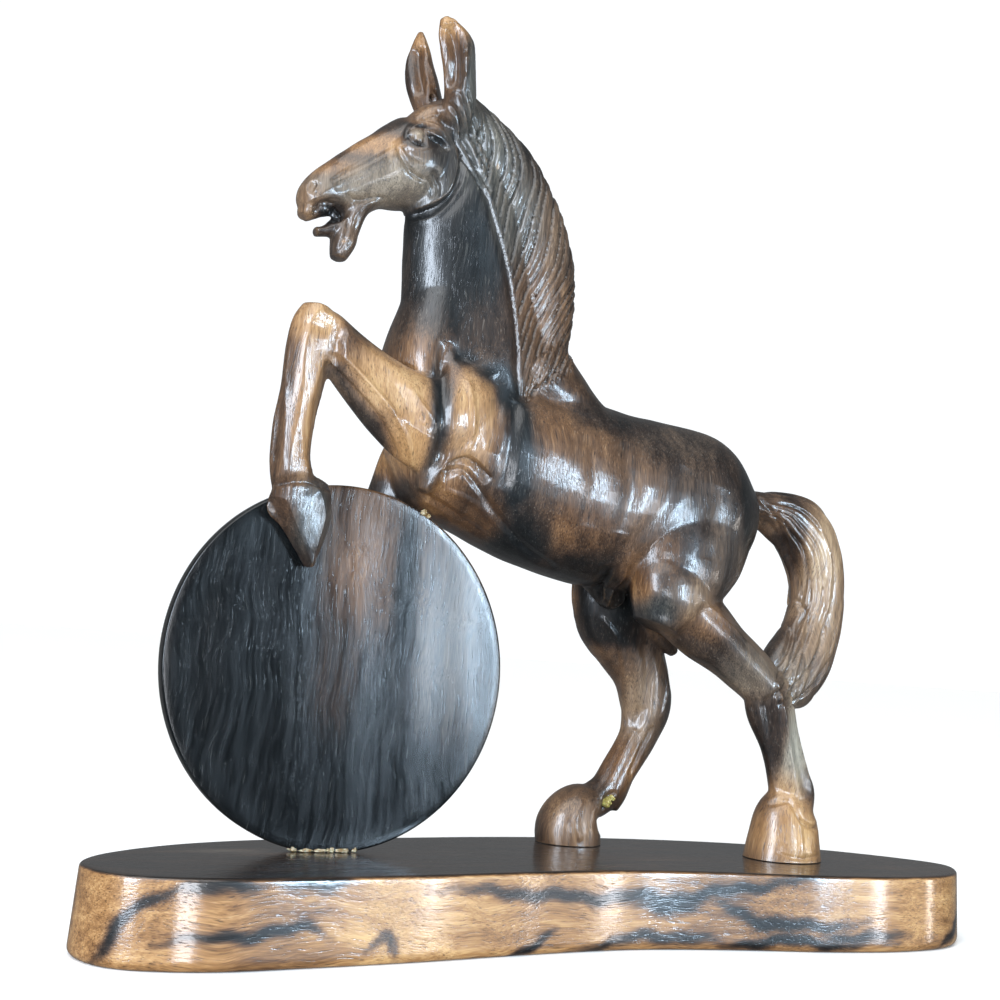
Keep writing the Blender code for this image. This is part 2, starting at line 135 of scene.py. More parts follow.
@dataclass(frozen=True)
class Facet:
    """A flat pared with a broad chisel: nothing near its middle line stands out of its plane.

    Args:
        start: One end of the middle line, as x, y and z.
        end: Its other end.
        way: Roughly the way the flat faces.
        reach: How far the chisel works on either side.
    """

    start: Point
    end: Point
    way: Point
    reach: float

    def pare(self, spots: np.ndarray) -> np.ndarray:
        """Bring the points that stand out of the plane down to it.

        Args:
            spots: Points in rows of x, y and z.

        Returns:
            The points after the cut.
        """
        start, run, face = np.array(self.start), np.subtract(self.end, self.start), np.array(self.way)
        face = face - run * (face @ run) / (run @ run)
        face = face / np.linalg.norm(face)
        off = spots - start
        share = np.clip(off @ run / (run @ run), 0, 1)
        gap = np.linalg.norm(off - share[:, None] * run, axis=1)
        near = np.clip((self.reach - gap) / (FACET_RUN_OUT * self.reach), 0, 1)
        out = off @ face
        out = np.where(out < FACET_DEEPEST, np.clip(out, 0, None), 0)
        return spots - (out * near)[:, None] * face


FACET_RUN_OUT = 0.3         # share of the reach over which the flat dies out
FACET_DEEPEST = 6.0         # wood farther out than this belongs to another part


@dataclass(frozen=True)
class Spot:
    """A small dome or hollow: its place, its reach and how far it rises."""

    x: float
    y: float
    z: float
    reach: float
    rise: float


@dataclass(frozen=True)
class Patch:
    """A region of the wood in the side view and what it is like there.

    Args:
        x: Its middle.
        z: Its middle.
        wide: Its half width.
        tall: Its half height.
        tone: From 0, the black heart streaks, to 1, the palest tan.
        cool: From 0, red-brown, to 1, the grey-blue bloom of old polish, which in places is a painted bluish
            sheen.
    """

    x: float
    z: float
    wide: float
    tall: float
    tone: float
    cool: float


# Modelling and painting helpers

def smooth_rows(rows: Iterable, steps: int, closed: bool = False) -> np.ndarray:
    """Rows of numbers on the smooth curve that runs through the given rows.

    Args:
        rows: The rows to pass through.
        steps: Steps from one row to the next.
        closed: Whether the last row joins the first.

    Returns:
        One row of numbers for each step.
    """
    points = [np.array(row, dtype=float) for row in rows]
    if closed:
        points = [points[-1]] + points + points[:2]
    else:
        points = [2 * points[0] - points[1]] + points + [2 * points[-1] - points[-2]]
    result = []
    for i in range(1, len(points) - 2):
        before, start, end, after = points[i - 1:i + 3]
        for t in np.arange(steps) / steps:
            bend = 2 * before - 5 * start + 4 * end - after
            twist = 3 * start - before - 3 * end + after
            result.append(0.5 * (2 * start + (end - before) * t + bend * t ** 2 + twist * t ** 3))
    if not closed:
        result.append(points[-2])
    return np.array(result)


def follow(x: np.ndarray, z: np.ndarray, line: Line) -> tuple[np.ndarray, np.ndarray, np.ndarray]:
    """Place points beside a smooth line in the side view.

    Args:
        x: Places along the horse.
        z: Places above the plinth.
        line: Points of the line.

    Returns:
        How far each point is from the line, how far to its left, and its share of the line.
    """
    points = smooth_rows(line, 4)
    gap = np.full(len(x), 1e9)
    left = np.zeros(len(x))
    share = np.zeros(len(x))
    for i, (start, end) in enumerate(zip(points, points[1:])):
        run = end - start
        part = ((x - start[0]) * run[0] + (z - start[1]) * run[1]) / (run @ run)
        part = np.clip(part, 0, 1)
        dx = x - start[0] - part * run[0]
        dz = z - start[1] - part * run[1]
        distance = np.hypot(dx, dz)
        nearer = distance < gap
        gap[nearer] = distance[nearer]
        left[nearer] = ((run[0] * dz - run[1] * dx) / math.hypot(*run))[nearer]
        share[nearer] = (i + part[nearer]) / (len(points) - 1)
    return gap, left, share


def blend_patches(x: np.ndarray, z: np.ndarray, patches: Iterable[Patch], tone: float,
                  cool: float) -> tuple[np.ndarray, np.ndarray]:
    """Blend patches over the wood between them.

    Args:
        x: Places along the piece.
        z: Places up the piece.
        patches: The patches.
        tone: The tone between them.
        cool: The coolness between them.

    Returns:
        Tone and coolness at each place.
    """
    weight = np.full(len(x), GROUND_WEIGHT)
    tones = weight * tone
    cools = weight * cool
    for patch in patches:
        here = np.exp(-((x - patch.x) / patch.wide) ** 2 - ((z - patch.z) / patch.tall) ** 2)
        weight = weight + here
        tones = tones + here * patch.tone
        cools = cools + here * patch.cool
    return tones / weight, cools / weight


def read_places(mesh: bpy.types.Mesh) -> np.ndarray:
    """The mesh's vertices as rows of x, y, z in mm.

    Args:
        mesh: The mesh.

    Returns:
        One row for each vertex.
    """
    places = np.empty(len(mesh.vertices) * 3, dtype=np.float32)
    mesh.vertices.foreach_get("co", places)
    return places.reshape(-1, 3).astype(float) / MM


def read_normals(mesh: bpy.types.Mesh) -> np.ndarray:
    """The mesh's vertex normals as rows.

    Args:
        mesh: The mesh.

    Returns:
        One row for each vertex.
    """
    normals = np.empty(len(mesh.vertices) * 3, dtype=np.float32)
    mesh.vertices.foreach_get("normal", normals)
    return normals.reshape(-1, 3).astype(float)


def write_places(mesh: bpy.types.Mesh, places: np.ndarray) -> None:
    """Move the mesh's vertices to rows of x, y, z in mm.

    Args:
        mesh: The mesh.
        places: One row for each vertex.
    """
    mesh.vertices.foreach_set("co", (places * MM).astype(np.float32).ravel())
    mesh.update()


def pick_up(obj: bpy.types.Object) -> bpy.types.Object:
    """Deselect everything, then select this object alone and make it active.

    Args:
        obj: The object.

    Returns:
        The same object.
    """
    bpy.ops.object.select_all(action="DESELECT")
    obj.select_set(True)
    bpy.context.view_layer.objects.active = obj
    return obj


def finish_modifier(obj: bpy.types.Object, kind: str, **settings: object) -> None:
    """Add a modifier with its settings and apply it.

    Args:
        obj: The piece.
        kind: The modifier's type.
        **settings: Its values by name.
    """
    modifier = obj.modifiers.new(kind.title(), kind)
    for name, value in settings.items():
        setattr(modifier, name, value)
    pick_up(obj)
    bpy.ops.object.modifier_apply(modifier=modifier.name)


def new_piece(name: str, verts: list, faces: list) -> bpy.types.Object:
    """A named object at the origin from vertices in metres and faces.

    Args:
        name: Its name.
        verts: Its vertices.
        faces: Its faces, as vertex numbers.

    Returns:
        The object.
    """
    mesh = bpy.data.meshes.new(name)
    mesh.from_pydata(verts, [], faces)
    obj = bpy.data.objects.new(name, mesh)
    bpy.context.scene.collection.objects.link(obj)
    return obj


def shade(obj: bpy.types.Object, degrees: float) -> None:
    """Shade smooth, with edges over this angle kept sharp.

    Args:
        obj: The piece.
        degrees: The angle.
    """
    pick_up(obj)
    bpy.ops.object.shade_smooth_by_angle(angle=math.radians(degrees))


def turn_faces_out(obj: bpy.types.Object) -> None:
    """Make every face of a closed piece point outwards.

    Args:
        obj: The piece.
    """
    pick_up(obj)
    bpy.ops.object.mode_set(mode="EDIT")
    bpy.ops.mesh.select_all(action="SELECT")
    bpy.ops.mesh.normals_make_consistent(inside=False)
    bpy.ops.object.mode_set(mode="OBJECT")


def settle(obj: bpy.types.Object, node: str | None = None) -> None:
    """Fix a finished piece to the body and the node that it stands for.

    Args:
        obj: The piece.
        node: The solid that it replaces.
    """
    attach(obj, "root")
    if node:
        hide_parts(node)
    LOG.info("%s: %d faces", obj.name, len(obj.data.polygons))


# Finishes

def linear(colour: str) -> tuple[float, float, float, float]:
    """A hex colour as linear red, green, blue and full opacity.

    Args:
        colour: The sRGB colour.

    Returns:
        The four channels.
    """
    parts = [int(colour[i:i + 2], 16) / 255 for i in (1, 3, 5)]
    parts = [p / 12.92 if p <= 0.04045 else ((p + 0.055) / 1.055) ** 2.4 for p in parts]
    return (*parts, 1.0)


def add(tree: bpy.types.NodeTree, kind: str, settings: dict | None = None, inputs: dict | None = None,
        stops: dict[float, str] | None = None) -> bpy.types.Node:
    """Add a node with its settings and links.

    Args:
        tree: The node tree.
        kind: The node's type.
        settings: Its own values by name.
        inputs: For each socket, by name or number, a value or the socket that feeds it.
        stops: A colour ramp's hex colours by place.

    Returns:
        The node.
    """
    node = tree.nodes.new(kind)
    for name, value in (settings or {}).items():
        setattr(node, name, value)
    for name, value in (inputs or {}).items():
        if isinstance(value, bpy.types.NodeSocket):
            tree.links.new(value, node.inputs[name])
        else:
            node.inputs[name].default_value = value
    if stops:
        elements = node.color_ramp.elements
        while len(elements) < len(stops):
            elements.new(0.5)
        for element, (place, colour) in zip(elements, stops.items()):
            element.position = place
            element.color = linear(colour)
    return node


GRAIN_SWAY = 14.0           # how far the grain wanders, in mm
BAND_LENGTH = 9             # lengths along the grain, as multiples of the width
STREAK_LENGTH = 16
PORE_LENGTH = 18
HAIRLINE = (0.35, 9.0)      # width and length of a hairline scratch
BAND_SHARE = 0.9            # how much each layer of the grain moves the tone
STREAK_SHARE = 0.6
FIBRE_SHARE = 0.55
HAIRLINE_SHARE = 0.5
PORE_COLOUR = "#0D0A09"
# paler edges: rubbed wear, and a painted highlight on the ridges
EDGE_WEAR_AND_HIGHLIGHT_COLOUR = "#9C7549"
OLD_WAX_COLOUR = "#0C0A0A"
DUST_COLOUR = "#B5B3A8"


@dataclass(frozen=True)
class PolishedEbony:
    """Striped Macassar-like ebony, carved, sanded and waxed by hand.

    The eye sees near-black heart streaks running out into red-brown and tan, fine dark pores
    drawn out along the grain, paler edges (partly rubbed wear, partly a painted highlight on the
    ridges), and a satin gloss that breaks up over the fibres. Sizes are in mm.

    Args:
        name: The material's name.
        grain: The axis the grain runs along: 0, 1 or 2 for X, Y or Z.
        band: Width of the broad colour bands.
        streak: Width of the streaks in a band.
        pore: Width of a pore, drawn as coarse as it needs to show.
        variation: How far the bands and streaks move the tone.
        roughness: Roughness of the polished surface.
        wax: Weight of the wax coat over it.
        polish: Roughness of that coat.
        scratch: Height of the sanding marks along the grain.
        dust: How much pale dust and fine scratches lie on the surface.
        edge_wear_and_highlight: How far edges are painted paler: rubbed wear, and a painted highlight on the
            ridges.
    """

    name: str
    grain: int = 2
    band: float = 11.0
    streak: float = 2.2
    pore: float = 0.45
    variation: float = 0.5
    roughness: float = 0.3
    wax: float = 0.35
    polish: float = 0.14
    scratch: float = 0.05
    dust: float = 0.25
    edge_wear_and_highlight: float = 0.35
    stops: dict[float, str] = field(default_factory=lambda: {
        0.0: "#0B0C0D", 0.18: "#17110D", 0.36: "#352214", 0.54: "#5C3D22", 0.74: "#8E673E",
        1.0: "#C09A67",
    })

    def stretch(self, width: float, length: float) -> tuple[float, float, float]:
        """Scale that makes a pattern this wide across the grain and this long along it.

        Args:
            width: Width in mm.
            length: Length in mm.

        Returns:
            The scale on each axis.
        """
        scale = [1 / (width * MM)] * 3
        scale[self.grain] = 1 / (length * MM)
        return tuple(scale)

    def material(self) -> bpy.types.Material:
        """The material, which reads the piece's tone and cool attributes.

        Returns:
            The finished material.
        """
        material = bpy.data.materials.new(self.name)
        material.use_nodes = True
        tree = material.node_tree
        shader = tree.nodes["Principled BSDF"]
        place = add(tree, "ShaderNodeTexCoord").outputs["Object"]
        sway = add(tree, "ShaderNodeTexNoise", inputs={"Vector": place, "Scale": 22.0, "Detail": 2.0})
        centred = add(tree, "ShaderNodeVectorMath", {"operation": "SUBTRACT"},
                      {0: sway.outputs["Color"], 1: (0.5, 0.5, 0.5)})
        bent = add(tree, "ShaderNodeVectorMath", {"operation": "MULTIPLY_ADD"},
                   {0: centred.outputs[0], 1: (GRAIN_SWAY * MM,) * 3, 2: place}).outputs[0]

        def grain_noise(width: float, length: float, detail: float) -> bpy.types.NodeSocket:
            """Noise drawn out along the grain.

            Args:
                width: Its width in mm.
                length: Its length in mm.
                detail: How many finer layers it has.

            Returns:
                The socket with its value.
            """
            spread = add(tree, "ShaderNodeVectorMath", {"operation": "MULTIPLY"},
                         {0: bent, 1: self.stretch(width, length)})
            noise = add(tree, "ShaderNodeTexNoise", inputs={
                "Vector": spread.outputs[0], "Scale": 1.0, "Detail": detail, "Roughness": 0.6})
            return noise.outputs["Fac"]

        bands = grain_noise(self.band, self.band * BAND_LENGTH, 2.0)
        streaks = grain_noise(self.streak, self.streak * STREAK_LENGTH, 3.0)
        fibres = grain_noise(self.pore, self.pore * PORE_LENGTH, 2.0)
        lines = grain_noise(*HAIRLINE, 1.0)
        tone = add(tree, "ShaderNodeAttribute", {"attribute_name": "tone"}).outputs["Fac"]
        cool = add(tree, "ShaderNodeAttribute", {"attribute_name": "cool"}).outputs["Fac"]
        for source, share in ((bands, BAND_SHARE), (streaks, STREAK_SHARE), (fibres, FIBRE_SHARE),
                              (lines, HAIRLINE_SHARE)):
            part = add(tree, "ShaderNodeMath", {"operation": "SUBTRACT"}, {0: source, 1: 0.5})
            tone = add(tree, "ShaderNodeMath", {"operation": "MULTIPLY_ADD"},
                       {0: part.outputs[0], 1: self.variation * share, 2: tone}).outputs[0]
        wood = add(tree, "ShaderNodeValToRGB", inputs={"Fac": tone}, stops=self.stops).outputs["Color"]
        # grey-blue: the bloom of old polish and, where patches put it, a painted bluish sheen
        grey = add(tree, "ShaderNodeValToRGB", inputs={"Fac": tone}, stops={
            0.0: "#070B0D", 0.3: "#152024", 0.6: "#4A5452", 1.0: "#9CA39B"}).outputs["Color"]
        bloom_and_sheen = add(tree, "ShaderNodeMath", {"operation": "MULTIPLY"}, {0: cool, 1: 0.85})
        wood = add(tree, "ShaderNodeMix", {"data_type": "RGBA"},
                   {"Factor": bloom_and_sheen.outputs[0], 6: wood, 7: grey}).outputs[2]

        # What lies over the wood, each where its source passes from the first number to the second
        form = add(tree, "ShaderNodeNewGeometry").outputs["Pointiness"]
        specks = add(tree, "ShaderNodeTexNoise", inputs={"Vector": place, "Scale": 1300.0, "Detail": 1.0})
        amounts = []
        for source, first, full, most in (
            (fibres, 0.40, 0.31, 0.55),                         # pores: short dark dashes along the grain
            (form, 0.53, 0.63, self.edge_wear_and_highlight),                    # edges painted paler: rubbed wear, and a painted highlight on the ridges
            (form, 0.48, 0.38, 0.75),                           # dark old wax in the bottoms of cuts
            (specks.outputs["Fac"], 0.77, 0.86, self.dust),     # specks of dust caught in the wax
            (lines, 0.66, 0.74, self.dust * 0.7),               # hairline scratches
        ):
            amount = add(tree, "ShaderNodeMapRange", inputs={
                "Value": source, "From Min": first, "From Max": full, "To Min": 0.0, "To Max": most})
            amounts.append(amount.outputs[0])
        pores, edge_wear_and_highlight, sunk, specks, hairs = amounts
        dust = add(tree, "ShaderNodeMath", {"operation": "MAXIMUM"}, {0: specks, 1: hairs}).outputs[0]
        for amount, colour in ((pores, PORE_COLOUR), (edge_wear_and_highlight, EDGE_WEAR_AND_HIGHLIGHT_COLOUR), (sunk, OLD_WAX_COLOUR),
                               (dust, DUST_COLOUR)):
            wood = add(tree, "ShaderNodeMix", {"data_type": "RGBA"},
                       {"Factor": amount, 6: wood, 7: linear(colour)}).outputs[2]

        # The gloss is broken by the streaks and dulled by dust, and the bump follows fibres and pores
        rough = add(tree, "ShaderNodeMapRange", inputs={
            "Value": streaks, "From Min": 0.3, "From Max": 0.7, "To Min": self.roughness - 0.05,
            "To Max": self.roughness + 0.08})
        rough = add(tree, "ShaderNodeMath", {"operation": "MULTIPLY_ADD"},
                    {0: dust, 1: 0.4, 2: rough.outputs[0]})
        height = add(tree, "ShaderNodeMath", {"operation": "MULTIPLY_ADD"}, {0: pores, 1: -0.8, 2: fibres})
        bump = add(tree, "ShaderNodeBump", inputs={
            "Strength": 1.0, "Distance": self.scratch * MM, "Height": height.outputs[0]})
        tree.links.new(wood, shader.inputs["Base Color"])
        tree.links.new(rough.outputs[0], shader.inputs["Roughness"])
        tree.links.new(bump.outputs[0], shader.inputs["Normal"])
        tree.links.new(bump.outputs[0], shader.inputs["Coat Normal"])
        shader.inputs["IOR"].default_value = 1.5
        shader.inputs["Coat Weight"].default_value = self.wax
        shader.inputs["Coat Roughness"].default_value = self.polish
        return material

    def coat(self, obj: bpy.types.Object, tone: np.ndarray, cool: np.ndarray) -> None:
        """Keep a piece's tone and coolness as attributes and give it this finish.

        Args:
            obj: The piece.
            tone: Tone of each vertex.
            cool: Coolness of each vertex.
        """
        for name, values in (("tone", tone), ("cool", cool)):
            layer = obj.data.attributes.new(name, "FLOAT", "POINT")
            layer.data.foreach_set("value", values.astype(np.float32))
        obj.data.materials.clear()
        obj.data.materials.append(self.material())


@dataclass(frozen=True)
class HideGlue:
    """Hard amber glue squeezed out of a repair: glassy lumps, cloudy inside, dusty on top.

    Args:
        name: The material's name.
        colour: Its clear parts.
        cloud: Its cloudy parts.
    """

    name: str
    colour: str
    cloud: str

    def material(self) -> bpy.types.Material:
        """The material.

        Returns:
            The finished material.
        """
        material = bpy.data.materials.new(self.name)
        material.use_nodes = True
        tree = material.node_tree
        shader = tree.nodes["Principled BSDF"]
        place = add(tree, "ShaderNodeTexCoord").outputs["Object"]
        noise = add(tree, "ShaderNodeTexNoise", inputs={"Vector": place, "Scale": 700.0, "Detail": 3.0})
        colour = add(tree, "ShaderNodeValToRGB", inputs={"Fac": noise.outputs["Fac"]}, stops={
            0.35: self.cloud, 0.6: self.colour})
        bump = add(tree, "ShaderNodeBump", inputs={
            "Strength": 0.6, "Distance": 0.0002, "Height": noise.outputs["Fac"]})
        tree.links.new(colour.outputs["Color"], shader.inputs["Base Color"])
        tree.links.new(bump.outputs[0], shader.inputs["Normal"])
        shader.inputs["Roughness"].default_value = 0.25
        shader.inputs["IOR"].default_value = 1.52
        shader.inputs["Subsurface Weight"].default_value = 0.2
        shader.inputs["Subsurface Scale"].default_value = 0.001
        return material


# Each station of a limb is x, y from the horse's middle plane, z above the plinth,
# half width in the side view, half depth across the horse.
LIMBS: dict[str, tuple[Station, ...]] = {
    "barrel": (
        (-58, 0, 141, 12, 12), (-47, 0, 139, 26, 20), (-27, 0, 135, 30, 23),
        (-3, 0, 128.6, 32.1, 24), (21, 0, 124, 32.1, 23), (46, 0, 122.4, 31.6, 23),
        (65.2, 0, 121.8, 29, 21), (80, 0, 120, 15, 14),
    ),
    "withers": (
        (-15, 0, 167.5, 17, 16), (-4, 0, 154.5, 17, 17), (9, 0, 143.5, 16, 18), (28, 0, 136.5, 16, 18),
    ),
    "breast": (
        (-42, 0, 196, 13, 12), (-45.9, 0, 178, 15.2, 14), (-48.8, 0, 160, 17, 17), (-50, 0, 142, 14, 17),
    ),
    "neck": (
        (-32, 0, 142, 25, 20), (-31, 0, 163, 29, 18), (-34, 0, 184, 26.5, 15),
        (-38, 0, 205, 24, 13.5), (-43, 0, 221, 20, 12.5), (-47, 0, 234, 14, 11),
        (-52, 0, 243, 11, 9),
    ),
    "skull": (
        (-50, 0, 240, 11, 9), (-58, 0, 232.8, 15.3, 12), (-67, 0, 227.5, 14.5, 12),
        (-75.5, 0, 223.6, 11.8, 10), (-84, 0, 218.8, 9.5, 8), (-90.7, 0, 214.4, 8, 7.5),
        (-95, 0, 210.8, 6.3, 7), (-97.6, 0, 208, 3.4, 4.5),
    ),
    "upper lip": (
        (-92, 0, 211.5, 4.5, 6.5), (-95.5, 0, 208, 4, 5.5), (-97.8, 0, 205, 2.2, 4),
    ),
    "tongue": (
        (-80, 0, 207, 5, 4), (-85.5, 0, 204, 3.6, 3.5), (-89.5, 0, 201.8, 2, 3.2), (-93.3, 0, 200.8, 1.8, 3),
    ),
    "poll": (
        (-66, 0, 239, 3, 5), (-57, 0, 246, 5.5, 8), (-47, 0, 248, 9, 10), (-40, 0, 246, 9, 9),
    ),
    "lower jaw": (
        (-67, 0, 220, 4.4, 9), (-77.5, 0, 213, 3.6, 6.5), (-81.8, 0, 204.5, 4.2, 5),
        (-83, 0, 199, 4.3, 5.5), (-84.4, 0, 193, 2.6, 4),
    ),
    "near ear": (
        (-58.2, -11, 279.2, 1.6, 1.6), (-55.5, -11, 275.3, 4.8, 3), (-52.4, -11, 270.5, 6.4, 4.2),
        (-50.9, -11, 265, 6.4, 5), (-49.8, -10, 259.8, 6, 5.5), (-49, -9, 254.6, 5.8, 6),
        (-48.6, -7, 246, 5.6, 6), (-48.4, -4, 238.5, 4.4, 5.5),
    ),
    "far ear": (
        (-57.9, 11, 281.6, 1, 1.4), (-57.7, 11, 278, 2.7, 2.8), (-57.5, 11, 274, 4.2, 4),
        (-57.3, 11, 269.5, 5.4, 5), (-56.5, 10, 264, 6.3, 5.5), (-55, 9, 258, 6.2, 6),
        (-52.6, 7, 250, 5.2, 6),
    ),
    "mane": (
        (-45, 0, 254, 6, 6), (-36.5, 0, 245, 9, 8), (-27, 0, 235, 11.5, 10),
        (-19.3, 0, 221.5, 13.5, 11.5), (-14, 0, 207, 15, 12.5), (-11, 0, 191, 14.4, 13),
        (-9.4, 0, 176, 11.3, 12.5), (-13, 0, 161, 7, 13),
    ),
    "near shoulder": (
        (-26, -8, 148, 22, 11), (-40, -12, 146, 20, 11), (-52, -13, 141, 17, 11),
        (-65.5, -15, 145.8, 13.5, 9.5), (-77.5, -15, 153.9, 10.3, 8.5),
        (-87, -15, 161.6, 8.6, 7.5), (-92, -15, 165.9, 7.6, 7), (-95.5, -15, 169, 5.5, 6),
    ),
    "near elbow": (
        (-42, -11, 142, 12, 10), (-48, -13, 128, 7.5, 8), (-52.5, -14, 118, 2, 3),
    ),
    "near cannon": (
        (-94.4, -15, 173.4, 4.5, 5), (-95, -15, 167.5, 7, 6.5), (-95.6, -15, 159, 7.9, 6.8),
        (-97.2, -15, 145, 7, 5.8), (-98.6, -15, 135, 6.9, 5.6), (-98.8, -15, 124.5, 6.8, 6),
        (-97.4, -15, 117, 7, 6.3), (-95.5, -15, 111, 6, 5), (-94, -15, 106, 3, 3),
    ),
    "near fore hoof": (
        (-97.4, -15, 116.5, 7, 6.5), (-95, -15, 111.5, 11.3, 7.8), (-92, -15, 105, 9.2, 7.6),
        (-90.4, -15, 97.5, 5.8, 6), (-89.3, -15.3, 89.8, 1.8, 3.4),
    ),
    "far shoulder": (
        (-30, 10, 145, 18, 10), (-39, 12, 138, 14, 10), (-46.9, 13, 130, 11.5, 9.5),
        (-53.8, 13, 116, 9, 8), (-59, 13, 103.5, 7.5, 7.5),
    ),
    "far cannon": (
        (-59.5, 13, 106, 7.5, 7.5), (-57, 13, 93.5, 6.2, 6.3), (-53, 13, 82, 5.8, 6),
        (-51, 12, 73, 6.5, 6.5),
    ),
    "far fore hoof": (
        (-51, 12, 75, 6.5, 6.5), (-52, 11, 66.5, 9, 8), (-52.5, 10, 58.5, 9.8, 8.5),
    ),
    "near haunch": (
        (60.6, -8, 128, 23.4, 12), (50.6, -12, 108, 23.2, 12.5), (43, -14, 90, 15.5, 12.5),
        (39, -14, 80, 8, 9),
    ),
    "near gaskin": (
        (45, -13, 92, 13, 11), (58, -14, 81.5, 12, 10.5), (69, -14, 74, 10, 9),
        (80, -14, 66.5, 9.3, 8), (91, -14, 58, 8.2, 7.5),
    ),
    "near hind cannon": (
        (86.6, -14, 62, 8.5, 7.8), (89.8, -14, 53, 9.6, 7.4), (94.8, -14, 41.5, 8, 6.3),
        (99.3, -14, 30, 8.4, 6.6), (101.6, -14, 23, 9.4, 7.4), (102, -14, 16, 8.2, 8),
    ),
    "near hind hoof": (
        (100.6, -14, 22, 8.4, 7.5), (99.4, -14, 15.5, 12.2, 9.5), (99.2, -14, 8, 13.6, 11),
        (99, -14, -2, 15.5, 12.5),
    ),
    "far haunch": (
        (55, 10, 124, 24, 12), (46, 13, 105, 24, 12), (37.5, 15, 87, 16.5, 12),
        (45, 16, 74.5, 14, 10), (51.6, 16, 63, 11, 8.5), (55.3, 16, 51.7, 10.2, 7.5),
    ),
    "far hind cannon": (
        (54.9, 16, 56.5, 10.2, 7.5), (55.1, 16, 49, 10, 7.5), (52, 16, 38, 7.6, 6.3),
        (45.3, 16, 26.6, 7, 6.3), (40.9, 16, 19.2, 7, 6.5), (34.6, 16, 14.7, 7, 7),
    ),
    "far hind hoof": (
        (38, 16, 14.5, 4, 6), (31, 16, 12.9, 9.3, 9), (26.6, 16, 6.5, 12.4, 10.5),
        (27, 16, -2, 12, 10.5),
    ),
    "dewclaw spur": (
        (47, 16, 25, 5, 5), (45, 16, 17, 4, 4), (44, 16, 12, 2, 2.5),
    ),
    "sheath": (
        (18, 0, 98, 5, 6), (26, 0, 92, 6, 6), (31, 0, 87, 3.5, 4),
    ),
    "stifle flap": (
        (48, 6, 84, 5, 5), (55, 7, 76, 3.5, 3.5), (61, 8, 71, 1.8, 2.5),
    ),
    "tail": (
        (78, 0, 128, 6, 8), (86, 0, 127.5, 6.5, 8.5), (96, 0, 125.5, 9.5, 9),
        (107.4, 0, 121, 12.6, 9.5), (115, 0, 109, 12, 9.5), (117.3, 0, 95.3, 11.4, 9),
        (115.3, -1, 83, 12, 9), (109.5, -3, 73, 13.5, 9), (100.5, -6, 64.5, 13.5, 8),
        (94.5, -9, 58, 7.2, 5),
    ),
}

# How far the sections of the crisply cut limbs go from an ellipse, 1, towards a diamond, 2
EDGED: dict[str, float] = {
    "near fore hoof": 1.7, "near elbow": 1.5, "near shoulder": 1.2, "near cannon": 1.25,
    "far hind cannon": 1.2, "near hind cannon": 1.2, "near gaskin": 1.15, "far shoulder": 1.2,
    "dewclaw spur": 1.4, "near ear": 1.2, "far ear": 1.4,
}

